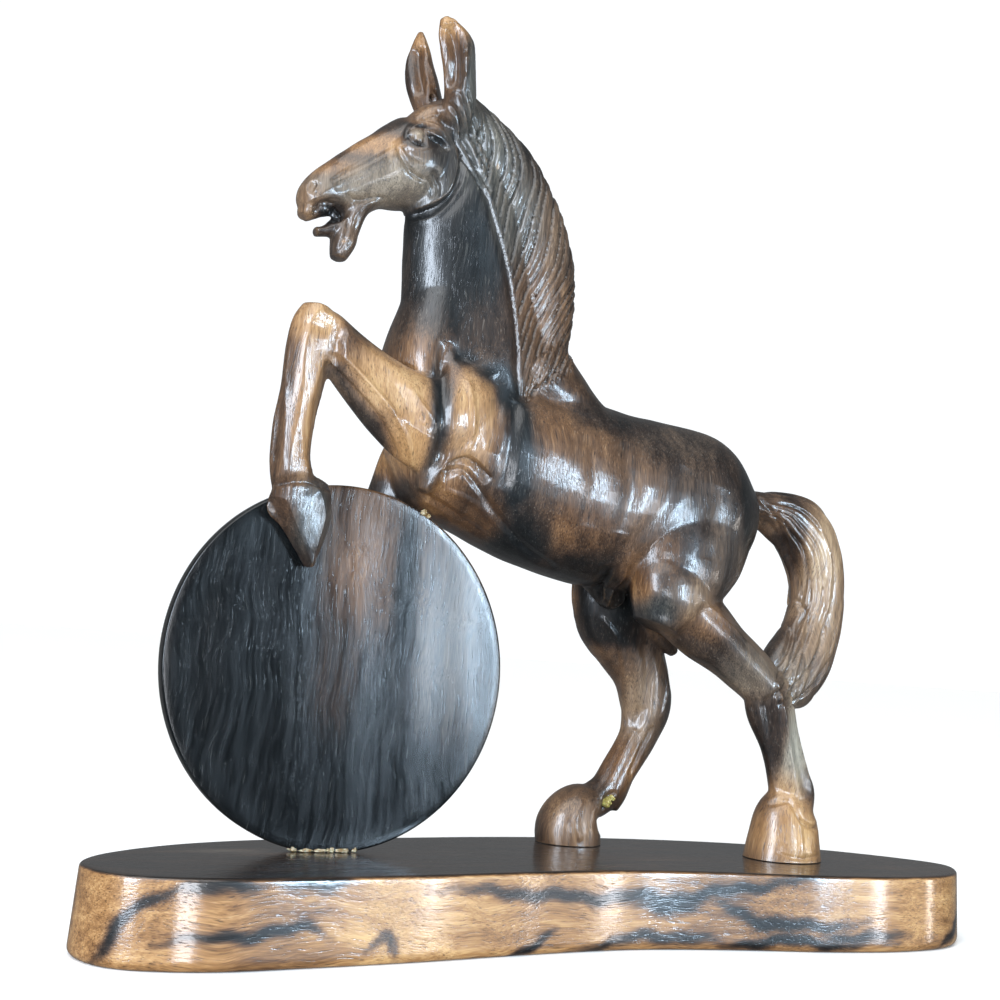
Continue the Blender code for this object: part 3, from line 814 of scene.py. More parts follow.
# Strokes in the side view. On the head: lids, eye, mouth, veins, cheek, jaw, nostril and lips
HEAD_CUTS = (
    Cut(((-68.3, 234.7), (-65.6, 240.6), (-60.7, 243.8), (-55.6, 245.7)), 1.3, 0.8),
    Cut(((-67.2, 236.2), (-65.2, 240.0), (-61.0, 242.4), (-56.4, 241.8), (-52.8, 238.6)), 1.0, 0.8,
         Blade.SPARED),
    Cut(((-66.4, 238.0), (-64.4, 240.2), (-61.4, 241.2), (-58.0, 240.8)), 0.8, 0.8),
    Cut(((-66.8, 236.4), (-65.2, 234.4), (-62.8, 233.6), (-60.8, 234.6)), 0.9, 1.0),
    Cut(((-61.0, 240.6), (-61.3, 237.4), (-61.8, 234.4)), 0.8, 1.0),
    Cut(((-60.2, 238.8), (-57.4, 237.0), (-55.4, 236.8), (-52.2, 234.6)), 1.4, 2.2),
    Cut(((-66.8, 232.8), (-63.4, 231.4), (-59.0, 232.8)), 0.9, 0.4, Blade.SPARED),
    Cut(((-95.4, 205.8), (-91.4, 208.4), (-87.8, 208.4), (-85.4, 205.4)), 1.9, 3.2, Blade.GOUGE),
    Cut(((-91.8, 204.6), (-91.4, 202.4)), 0.8, 0.9),
    Cut(((-91.3, 216.7), (-84.5, 221.6), (-76.2, 227.5), (-70.7, 232.3), (-65.0, 236.4)), 0.9, 0.7),
    Cut(((-89.3, 218.9), (-82.6, 224.6), (-75.0, 230.4), (-67.9, 235.8)), 0.7, 0.45),
    Cut(((-90.0, 214.5), (-82.0, 218.6), (-74.5, 224.0), (-71.0, 228.0)), 2.2, 0.6, Blade.GOUGE),
    Cut(((-70.7, 232.0), (-68.4, 227.5), (-65.0, 223.8), (-60.0, 222.3)), 1.2, 1.3),
    Cut(((-68.8, 232.4), (-65.9, 229.4), (-61.9, 227.3)), 0.9, 0.9),
    Cut(((-67.2, 231.0), (-64.0, 228.2), (-60.6, 226.4)), 0.8, 0.5, Blade.SPARED),
    Cut(((-85.3, 213.7), (-81.5, 212.4), (-75.8, 214.2), (-71.3, 214.7)), 1.3, 1.0),
    Cut(((-57.9, 225.5), (-54.9, 222.3), (-54.6, 217.5)), 1.1, 1.0),
    Cut(((-59.4, 223.5), (-56.6, 220.6), (-56.4, 217.2)), 0.9, 0.6),
    Cut(((-56.6, 244.7), (-51.7, 241.4), (-48.7, 234.7), (-48.8, 226.6), (-51.3, 219.5), (-57.0, 214.8),
         (-65.9, 211.4)), 4.2, 2.2, Blade.STOP),
    Cut(((-45.2, 230.2), (-46.8, 222.9), (-51.3, 215.2), (-56.0, 210.5), (-61.9, 209.1)), 1.8, 0.7,
         Blade.SPARED),
    Cut(((-99.2, 202.8), (-95.1, 205.4), (-92.0, 209.6), (-87.7, 211.2), (-85.3, 208.4)), 0.9, 0.6),
    Cut(((-94.8, 217.0), (-97.4, 216.0), (-98.6, 213.4), (-97.8, 211.2)), 0.8, 0.35, Blade.SPARED),
    Cut(((-94.6, 216.2), (-94.9, 213.4), (-96.6, 211.4)), 0.8, 0.5),
    Cut(((-95.8, 215.8), (-97.0, 213.8), (-97.2, 212.0)), 0.9, 0.9, Blade.GOUGE),
    Cut(((-99.0, 208.6), (-95.4, 210.6), (-91.0, 214.4), (-87.0, 216.6)), 0.8, 0.35, Blade.SPARED),
    Cut(((-83.2, 206.5), (-83.8, 201.0), (-85.5, 195.5)), 1.0, 0.7),
    Cut(((-79.8, 209.0), (-80.9, 202.0), (-83.4, 196.0)), 0.9, 0.5),
    Cut(((-88.6, 223.2), (-80.0, 229.4), (-72.0, 235.6)), 1.6, 0.5, Blade.GOUGE),
)
# The eyeball, the brow and the hollows beside them
HEAD_SPOTS = (
    Spot(-63.8, -12.0, 237.2, 2.2, 1.3),
    Spot(-59.2, -12.0, 239.8, 1.9, 0.9),
    Spot(-67.5, -11.0, 231.8, 3.0, -0.9),
    Spot(-56.0, -12.0, 242.0, 3.2, 0.7),
    Spot(-57.5, -12.0, 229.0, 4.5, 0.7),
    Spot(-52.0, -13.5, 239.0, 3.0, -0.7),
)
# The hollows of the ears and their rims
EAR_CUTS = (
    Cut(((-57.0, 276.4), (-55.2, 270.6), (-54.2, 263.5), (-53.6, 254.6)), 2.7, 3.4, Blade.GOUGE),
    Cut(((-55.6, 279.2), (-51.2, 273.0), (-50.4, 265.0), (-50.2, 255.4)), 1.0, 0.9, Blade.SPARED),
    Cut(((-58.6, 278.0), (-57.0, 267.1), (-55.3, 255.0)), 0.9, 0.7, Blade.SPARED),
    Cut(((-50.4, 254.4), (-55.0, 252.6), (-58.5, 251.8)), 1.3, 0.6, Blade.GOUGE),
)
FAR_EAR_CUTS = (
    Cut(((-59.9, 275.0), (-59.4, 266.1), (-57.6, 256.4)), 1.7, 2.2, Blade.GOUGE),
    Cut(((-58.2, 281.0), (-56.7, 272.0), (-54.3, 263.4), (-53.2, 257.2)), 1.0, 0.9, Blade.SPARED),
)
# The locks at the poll, the mane's edge and the lines from it to the back
NECK_CUTS = (
    Cut(((-57.0, 248.6), (-51.0, 239.9), (-44.4, 230.4), (-37.4, 220.8)), 0.9, 1.1),
    Cut(((-53.6, 250.2), (-48.3, 242.5), (-42.2, 233.0), (-36.2, 222.6)), 1.0, 1.4),
    Cut(((-51.6, 253.6), (-46.0, 245.6), (-41.4, 238.4), (-36.2, 229.4)), 0.9, 1.2),
    Cut(((-49.0, 254.6), (-44.4, 248.3), (-40.0, 241.4), (-35.4, 233.0)), 0.8, 0.9),
    Cut(((-20.2, 152.0), (-22.2, 161.0), (-22.8, 171.0), (-24.8, 187.0), (-28.7, 201.5), (-34.9, 217.0),
         (-40.4, 230.0), (-46.0, 242.0)), 2.2, 1.2, Blade.STOP),
    Cut(((-19.8, 151.2), (-12.8, 159.3), (-4.1, 169.1)), 1.1, 1.0),
    Cut(((-21.5, 151.0), (-16.9, 155.2), (-8.2, 154.0), (3.0, 154.6), (10.8, 154.5)), 2.4, 0.7,
         Blade.GOUGE),
)
# The folds of the shoulder and chest, then the raised foreleg
CHEST_CUTS = (
    Cut(((-70.6, 162.2), (-61.7, 158.7), (-53.9, 156.4), (-49.2, 161.6)), 1.3, 1.4),
    Cut(((-49.0, 168.5), (-50.6, 158.7), (-51.2, 147.4), (-50.2, 136.4), (-48.2, 126.0)), 2.2, 1.9,
         Blade.GOUGE),
    Cut(((-48.8, 167.5), (-43.0, 164.5), (-37.8, 161.5), (-32.0, 160.8), (-24.7, 153.4)), 2.4, 0.5,
         Blade.GOUGE),
    Cut(((-42.6, 156.0), (-41.2, 147.6), (-40.2, 138.9), (-41.0, 130.4)), 2.4, 0.9, Blade.SPARED),
    Cut(((-33.2, 158.8), (-31.0, 152.3), (-31.8, 142.4), (-32.7, 133.0)), 2.4, 0.9, Blade.GOUGE),
    Cut(((-24.4, 151.4), (-25.3, 142.3), (-26.5, 133.1), (-26.9, 121.5)), 2.4, 0.9, Blade.GOUGE),
    Cut(((-31.0, 124.6), (-36.3, 129.1), (-41.3, 130.9), (-45.9, 128.1), (-49.2, 123.0)), 3.6, 2.4,
         Blade.STOP),
    Cut(((-47.0, 123.6), (-41.6, 126.0), (-35.6, 121.4), (-29.3, 115.3), (-23.0, 109.9), (-12.3, 102.6),
         (0.9, 96.9)), 1.6, 1.2),
    Cut(((-51.3, 117.5), (-39.4, 112.0), (-26.5, 105.7)), 1.4, 0.8),
    Cut(((-46.0, 119.5), (-36.0, 116.5), (-27.0, 110.5)), 1.6, 0.7, Blade.SPARED),
    Cut(((-90.0, 160.2), (-76.1, 148.6), (-68.2, 141.0), (-61.2, 131.7), (-55.7, 122.1),
         (-53.6, 116.0)), 1.4, 0.9,
        Blade.SPARED),
    Cut(((-56.8, 117.1), (-64.2, 130.2), (-72.8, 140.7), (-82.8, 149.6), (-90.0, 155.6)), 2.6, 1.0,
         Blade.STOP),
    Cut(((-60.5, 150.5), (-54.0, 141.0), (-50.6, 130.0), (-51.0, 121.0)), 2.0, 0.7, Blade.GOUGE),
    Cut(((-101.6, 168.0), (-103.2, 155.1), (-102.8, 136.9), (-102.4, 122.0)), 0.9, 0.4, Blade.SPARED),
    Cut(((-89.4, 158.0), (-91.0, 146.0), (-91.2, 132.0), (-91.0, 121.0)), 2.0, 0.9, Blade.GOUGE),
    Cut(((-103.8, 113.4), (-94.0, 115.4), (-84.0, 114.0)), 2.8, 1.3, Blade.STOP),
    Cut(((-104.8, 164.0), (-99.0, 166.4), (-91.0, 165.2)), 2.0, 0.5, Blade.GOUGE),
)
# The flank, the haunch and the near hind leg
HAUNCH_CUTS = (
    Cut(((15.0, 99.0), (21.1, 105.7), (27.4, 112.3), (33.8, 120.5), (38.3, 130.2), (43.1, 136.9)), 3.6, 0.7,
        Blade.GOUGE),
    Cut(((43.3, 73.2), (34.3, 76.4), (26.1, 81.8), (22.4, 91.1), (21.0, 99.9)), 3.4, 2.2,
        Blade.STOP),
    Cut(((23.9, 104.4), (25.8, 97.1), (25.4, 88.1), (28.4, 80.6), (35.1, 78.2)), 1.6, 0.9, Blade.SPARED),
    Cut(((28.0, 101.5), (36.5, 103.0), (46.4, 99.4), (55.8, 93.3), (62.0, 90.0)), 2.8, 0.8, Blade.GOUGE),
    Cut(((3.0, 143.0), (5.5, 130.0), (5.5, 112.0)), 3.2, 0.5, Blade.GOUGE),
    Cut(((17.0, 142.0), (21.0, 129.0), (19.0, 111.0)), 3.6, 0.7, Blade.GOUGE),
    Cut(((58.5, 131.0), (55.7, 121.2), (52.6, 114.7), (51.6, 104.7)), 3.4, 0.6, Blade.GOUGE),
    Cut(((47.7, 71.5), (60.8, 66.6), (72.3, 59.6), (80.2, 53.0)), 1.5, 1.0),
    Cut(((44.0, 79.5), (56.0, 75.5), (68.0, 68.5), (80.0, 59.5)), 2.0, 0.7, Blade.GOUGE),
    Cut(((50.0, 91.0), (61.0, 85.0), (72.0, 78.0), (84.0, 69.5)), 1.6, 0.5, Blade.SPARED),
    Cut(((86.0, 66.0), (89.5, 57.0), (93.5, 45.0), (97.0, 33.0), (98.0, 25.0)), 1.6, 0.9, Blade.SPARED),
    Cut(((92.5, 62.0), (95.5, 52.0), (98.4, 41.0), (101.5, 31.0), (103.5, 24.0)), 1.8, 0.8, Blade.GOUGE),
    Cut(((96.8, 60.0), (100.4, 48.0), (103.5, 36.0), (106.8, 25.0)), 1.1, 0.6, Blade.SPARED),
    Cut(((88.6, 19.4), (95.6, 21.4), (99.0, 15.2), (104.6, 12.6), (111.0, 12.6)), 1.3, 1.4),
    Cut(((96.5, 22.0), (98.6, 12.0), (99.2, 2.0)), 1.8, 0.7, Blade.SPARED),
    Cut(((90.0, 3.2), (99.0, 1.9), (109.5, 3.0)), 0.9, 0.5),
)
HAUNCH_SPOTS = (
    Spot(36.5, -25.5, 84.5, 3.6, -1.3),
    Spot(50.0, -24.0, 112.0, 7.0, 0.7),
    Spot(30.0, -24.5, 93.0, 5.0, 0.8),
    Spot(68.0, -20.0, 121.0, 7.0, 0.7),
)
# The far hind leg, and the far foreleg last
FAR_LEG_CUTS = (
    Cut(((28.0, 82.3), (35.9, 74.2), (41.2, 64.2), (44.0, 52.6), (43.4, 44.0)), 1.6, 1.0, Blade.SPARED),
    Cut(((46.7, 74.9), (50.3, 64.8), (50.4, 52.9), (48.0, 42.0)), 2.2, 1.2, Blade.GOUGE),
    Cut(((55.7, 69.8), (60.2, 59.7), (58.5, 46.8)), 1.4, 0.7, Blade.SPARED),
    Cut(((55.0, 44.0), (50.5, 34.0), (47.0, 25.0)), 1.6, 0.9),
    Cut(((49.0, 42.0), (43.5, 31.0), (39.0, 22.0), (33.0, 16.5)), 1.6, 0.8, Blade.SPARED),
    Cut(((41.5, 19.5), (37.5, 16.8), (37.0, 12.0)), 1.4, 1.2),
    Cut(((27.5, 17.0), (24.0, 9.0), (26.0, 2.0)), 2.0, 0.7, Blade.SPARED),
    Cut(((-50.0, 118.0), (-56.0, 108.0), (-58.0, 98.0), (-54.0, 84.0), (-51.5, 74.0)), 1.6, 0.8,
         Blade.SPARED),
)
# The tail's locks
TAIL_CUTS = (
    Cut(((82.2, 131.4), (90.6, 124.5), (98.1, 115.4), (101.6, 104.0)), 1.5, 1.2),
    Cut(((84.2, 123.6), (92.3, 118.4), (98.7, 111.8), (103.6, 102.8), (102.6, 92.8)), 2.6, 2.6,
         Blade.GOUGE),
    Cut(((89.9, 131.9), (106.1, 126.8), (114.4, 116.2), (116.4, 104.8), (116.4, 90.1)), 1.3, 0.9,
         Blade.SPARED),
    Cut(((96.0, 121.6), (104.5, 113.5), (108.0, 102.0), (107.0, 92.0)), 1.0, 1.0),
    Cut(((100.4, 92.9), (105.3, 94.6), (107.9, 89.6), (101.5, 79.2)), 1.3, 1.2),
    Cut(((84.8, 58.5), (91.2, 62.8), (98.3, 69.6), (106.4, 79.7), (110.0, 90.0)), 1.3, 1.4),
    Cut(((86.0, 64.0), (92.2, 69.0), (98.3, 76.0), (103.4, 84.7)), 1.1, 1.2),
    Cut(((87.6, 55.4), (96.2, 60.0), (104.5, 66.6), (112.5, 76.7), (115.0, 86.0)), 1.2, 1.2),
    Cut(((92.0, 53.6), (102.0, 57.6), (111.5, 64.6), (119.5, 74.7)), 1.0, 1.0),
)

FACETS = (
    # Raised hoof: the broad face, the narrow left one and the right edge
    Facet((-93.2, -19.8, 113.5), (-89.3, -17.6, 92.0), (0.1, -1.0, -0.05), 11.5),
    Facet((-103.4, -18.4, 112.8), (-89.9, -17.2, 91.5), (-0.75, -0.55, -0.35), 6.0),
    Facet((-84.6, -18.4, 113.0), (-88.5, -17.2, 92.5), (0.8, -0.5, -0.25), 4.0),
    # Raised foreleg: the shin's front and side, the forearm above and below its ridge
    Facet((-93.5, -20.2, 164.0), (-96.5, -19.9, 119.0), (0.15, -1.0, 0.0), 8.5),
    Facet((-101.6, -19.7, 165.0), (-102.4, -19.4, 117.0), (-0.85, -0.5, 0.0), 5.5),
    Facet((-91.0, -22.2, 163.0), (-62.0, -24.2, 131.0), (0.1, -1.0, 0.15), 12.0),
    Facet((-84.5, -22.8, 154.0), (-58.0, -23.2, 125.0), (-0.36, -0.75, -0.55), 6.0),
    # Hind leg: the cannon's face and its front edge, then both sides of the hoof
    Facet((93.0, -20.6, 56.0), (101.0, -20.2, 27.0), (0.25, -1.0, 0.05), 7.5),
    Facet((86.6, -20.0, 55.0), (95.2, -19.4, 28.0), (-0.8, -0.6, 0.0), 5.0),
    Facet((93.5, -23.6, 14.0), (90.6, -25.6, 0.0), (-0.55, -0.82, 0.1), 8.0),
    Facet((104.0, -23.6, 13.0), (107.0, -25.6, 0.0), (0.4, -0.9, 0.1), 8.0),
    # Outer plane of the near ear
    Facet((-47.6, -13.4, 270.5), (-45.4, -12.8, 256.0), (0.8, -0.6, 0.0), 4.5),
)

# Light and dark wood in the side view, with painted highlights and painted shade where marked
HORSE_PATCHES = tuple(Patch(*row) for row in (
    (-91, 222, 6, 2.6, 0.70, 0.0), (-78, 232, 8, 2.8, 0.72, 0.0), (-98, 209, 5, 6, 0.56, 0.3),
    # (-63.6, 237.4): a painted highlight on the eyeball. The four dark patches after it: painted shade in the
    # eye's slit and under its lids
    (-89, 215, 7, 4, 0.66, 0.7), (-63.6, 237.4, 2.2, 1.8, 0.72, 0.7),
    (-57.0, 236.9, 3.0, 1.0, -0.1, 0.3), (-64, 233.7, 2.4, 0.8, 0.1, 0.3),
    (-67.2, 236.8, 0.8, 2.0, 0.15, 0.3), (-62.5, 240.9, 3.0, 0.7, 0.1, 0.3),
    (-66, 221, 11, 7, 0.66, 0.75), (-80, 219, 8, 4, 0.64, 0.7), (-60, 246, 5, 4, 0.62, 0.2),
    (-55, 263, 3.5, 10, 0.46, 0.1), (-55, 277, 5, 4, 0.80, 0.0), (-46.5, 262, 2.6, 10, 0.55, 1.0),
    (-82, 200, 4, 7, 0.50, 0.4), (-89, 207.6, 3, 2.2, -0.1, 0.0), (-52, 228, 4, 8, 0.30, 0.7),
    (-54, 209, 9, 5, 0.0, 0.5), (-47, 202, 11, 16, 0.05, 0.9), (-64, 188, 3, 20, 0.38, 0.3),
    (-54, 163, 7, 6, 0.55, 0.0), (-36, 176, 9, 12, 0.30, 0.3), (-38, 236, 10, 14, 0.45, 0.95),
    (-27, 215, 9, 12, 0.50, 0.85), (-10, 210, 5, 14, 0.55, 0.45), (-14, 188, 9, 14, 0.54, 0.2),
    (-18, 162, 5, 8, 0.46, 0.3), (-40, 144, 6, 14, 0.86, 0.1), (-52, 146, 2.4, 18, 0.08, 0.8),
    (-72, 151, 13, 9, 0.90, 0.1), (-60, 134, 7, 9, 0.78, 0.0), (-96, 168, 7, 6, 0.88, 0.1),
    # (-91, 106): a painted bluish-white highlight on the raised hoof's broad face
    (-96, 140, 4, 18, 0.86, 0.1), (-91, 106, 5, 7, 0.46, 0.95), (-100, 106, 3, 9, 0.42, 0.1),
    (-103.5, 135, 2, 26, 0.50, 0.2),
    # Painted shade on the underside of the raised forearm, from the knee down to the elbow
    *((-87.5 + 2.8 * i, 152.0 - 3.3 * i, 2.2, 2.2, 0.26, 0.5) for i in range(12)),
    (-90.5, 134, 1.6, 13, 0.35, 0.6), (-58, 98, 7, 14, 0.2, 0.4), (-46, 118, 5, 6, 0.62, 0.0),
    (-43, 164, 4, 2, 0.0, 0.8), (-33, 160, 5, 2.4, 0.0, 0.8), (-26, 154, 3, 4, 0.0, 0.8),
    (-22, 133, 2.4, 16, 0.06, 0.8), (-14, 104, 6, 7, 0.02, 0.6), (-33, 112, 8, 5, 0.42, 0.0),
    (-10, 142, 6, 12, 0.56, 0.15), (-6, 163, 10, 7, 0.42, 0.2), (6, 134, 10, 11, 0.58, 0.2),
    (3, 112, 12, 7, 0.52, 0.0), (18, 151, 14, 4, 0.24, 0.4), (44, 147, 14, 5, 0.38, 0.5),
    (27, 122, 7, 10, 0.52, 0.25), (34, 106, 6, 6, 0.50, 0.1), (46, 128, 7, 9, 0.44, 0.4),
    (61, 112, 7, 12, 0.46, 0.5), (74, 127, 4, 13, 0.06, 0.5), (14, 97, 12, 4, 0.08, 0.2),
    # (35.5, 86): the stifle's dimple, with a painted bluish highlight
    (26, 94, 5, 8, 0.76, 0.0), (35.5, 86, 4, 4, 0.38, 0.95), (47, 90, 7, 6, 0.68, 0.5),
    # (76, 67): a painted bluish highlight on the hock
    (55, 84, 8, 5, 0.60, 0.1), (76, 67, 9, 7, 0.62, 0.65), (90, 44, 2.2, 14, 0.30, 0.2),
    (98.5, 40, 5, 12, 0.84, 0.95), (96, 23, 4, 7, 0.84, 0.0), (98, 9, 12, 8, 0.90, 0.0),
    (36, 62, 6, 12, 0.5, 0.2), (50, 50, 6, 12, 0.66, 0.4), (45, 28, 6, 8, 0.62, 0.0),
    (26, 8, 8, 8, 0.68, 0.2), (114, 112, 7, 16, 0.90, 0.4), (90, 124, 7, 6, 0.45, 0.2),
    # (98, 66): a painted bluish highlight on the back of the hock
    (115, 86, 8, 11, 0.76, 0.4), (98, 66, 9, 7, 0.60, 0.6), (100, 104, 4, 10, 0.18, 0.0),
))

HORSE_TONE = 0.3            # tone and coolness between the patches
HORSE_COOL = 0.3

# Painted shade on the inner surfaces of the hollow between the haunches: from its front foot to its back top,
# with its reach across
SHADED_HOLLOW = ((2.0, 14.0, 70.0), (48.0, 14.0, 106.0))
HOLLOW_SHADE_TONE = 0.16
HOLLOW_SHADE_FADE = 4.0           # width over which its painted shade starts


@dataclass(frozen=True)
class Fan:
    """Locks of hair that run from one edge to another in the side view.

    Args:
        first: The edge that the locks leave.
        second: The edge that they end at.
        locks: How many there are.
        strands: Strands in each lock.
        sweep: How far a lock runs along the edges on its way, as a share of them.
        depth: Depth of the valleys between locks.
        strand_depth: Depth of the lines between strands.
        margin: Width over which the carving runs out past the edges.
        across_locks: Whether the locks lie side by side across the edges, and so run along them.
        root: Where along the horse the carving starts.
    """

    first: Line
    second: Line
    locks: float
    strands: float
    sweep: float
    depth: float
    strand_depth: float
    margin: float
    across_locks: bool = False
    root: float = -60.0

    def place(self, x: np.ndarray, z: np.ndarray) -> tuple[np.ndarray, np.ndarray, np.ndarray]:
        """Place points between the edges.

        Args:
            x: Places along the horse.
            z: Places above the plinth.

        Returns:
            Share along the edges, share across from the first, and how far outside.
        """
        first = smooth_rows(self.first, 24)
        second = smooth_rows(self.second, 24)
        along = np.linspace(0, 1, len(first))
        across = np.linspace(0, 1, 60)
        spots = first[:, None] * (1 - across[None, :, None]) + second[:, None] * across[None, :, None]
        tree = kdtree.KDTree(spots.shape[0] * spots.shape[1])
        for index, spot in enumerate(spots.reshape(-1, 2)):
            tree.insert((spot[0], spot[1], 0), index)
        tree.balance()
        found = [tree.find((px, pz, 0))[1:] for px, pz in zip(x, z)]
        index = np.array([f[0] for f in found])
        gap = np.array([f[1] for f in found])
        i, j = index // len(across), index % len(across)
        step_along = np.gradient(spots, along, axis=0)[i, j]
        step_across = (second - first)[i]
        off = np.stack([x, z], axis=1) - spots[i, j]
        area = step_along[:, 0] * step_across[:, 1] - step_along[:, 1] * step_across[:, 0]
        area = np.where(np.abs(area) < 1, 1, area)
        da = (off[:, 0] * step_across[:, 1] - off[:, 1] * step_across[:, 0]) / area
        dc = (step_along[:, 0] * off[:, 1] - step_along[:, 1] * off[:, 0]) / area
        reach = 1 / len(along), 1 / len(across)
        return along[i] + np.clip(da, -reach[0], reach[0]), across[j] + np.clip(dc, -reach[1], reach[1]), gap

    def reach(self, x: np.ndarray, z: np.ndarray) -> np.ndarray:
        """Numbers of the points in the box round the hair.

        Args:
            x: Places along the horse.
            z: Places above the plinth.

        Returns:
            The numbers.
        """
        edges = np.array(self.first + self.second)
        low, high = edges.min(axis=0) - self.margin, edges.max(axis=0) + self.margin
        return np.flatnonzero((x > low[0]) & (x < high[0]) & (z > low[1]) & (z < high[1]))

    def relief(self, x: np.ndarray, z: np.ndarray) -> np.ndarray:
        """How far the hair stands out at each point of the side view.

        Args:
            x: Places along the horse.
            z: Places above the plinth.

        Returns:
            Heights, below zero in the valleys.
        """
        along, across, gap = self.place(x, z)
        inside = np.clip(1 - gap / self.margin, 0, 1)
        if self.across_locks:
            phase = across * self.locks + 0.4 * np.sin(4 * along)
            hem = np.zeros(len(x))
        else:
            phase = (along - self.sweep * across) * self.locks
            hem = np.clip((across - 1 + HEM_WIDTH) / HEM_WIDTH, 0, 1)
            inside = inside * np.clip(along / (0.04 + 0.2 * across), 0, 1)
        inside = inside * np.clip((x - self.root) / HAIR_RUN_IN, 0, 1)
        phase = phase + LOCK_UNEVEN * np.sin(1.9 * phase)
        part = phase % 1
        lock = np.minimum(part / LOCK_STEP, 1) ** 0.7 * (1 - 0.6 * part) - 0.55
        strand = np.abs(np.sin(math.pi * phase * self.strands)) - 0.7
        strand = strand * (0.75 + 0.25 * np.sin(2.3 * phase))
        return inside * ((self.depth * lock + self.strand_depth * strand) * (1 - hem) + HEM_RISE * hem)


LOCK_STEP = 0.32            # share of a lock that steps up from the one above
LOCK_UNEVEN = 0.22          # how far the locks' widths differ
HEM_WIDTH = 0.035           # share of the mane's width that its smooth hem takes
HEM_RISE = 0.15
HAIR_RUN_IN = 8.0           # length over which the carving starts
HAIR_PAINTED_SHADE = 0.16        # painted shade and highlight: tone added for each mm that the hair stands out, taken off for each mm that it lies deep
MANE = Fan(
    first=((-40, 259.5), (-23, 246), (-9, 234), (-2, 222), (4, 201), (5, 190), (3.5, 178), (1, 168)),
    second=((-50, 252), (-45.5, 242), (-40, 230), (-34.5, 217), (-28.5, 201.5), (-24.6, 187), (-22.4, 170),
            (-20.5, 152.5)),
    locks=17, strands=3, sweep=0.47, depth=1.7, strand_depth=0.7, margin=1.5)
TAIL = Fan(
    first=((80, 137), (107, 134.7), (118, 129.7), (125.6, 121), (129.8, 106), (130, 93.6), (128.3, 78),
           (120.7, 59.3)),
    second=((80, 121), (86, 120), (90.3, 114.6), (97.7, 106.3), (101.6, 91.5), (97.7, 82.3), (89.8, 69),
            (87, 55)),
    locks=5, strands=2, sweep=0, depth=0.8, strand_depth=0.5, margin=2.5, across_locks=True,
    root=84)


STATION_HEIGHT = 280.0      # height of the horse that the stations describe
FACING_GAIN = 1.8           # how soon a cut is at full depth as the surface turns to the side
CUT_MARGIN = 3.0            # how far past its reach a cut is still looked for, as a multiple


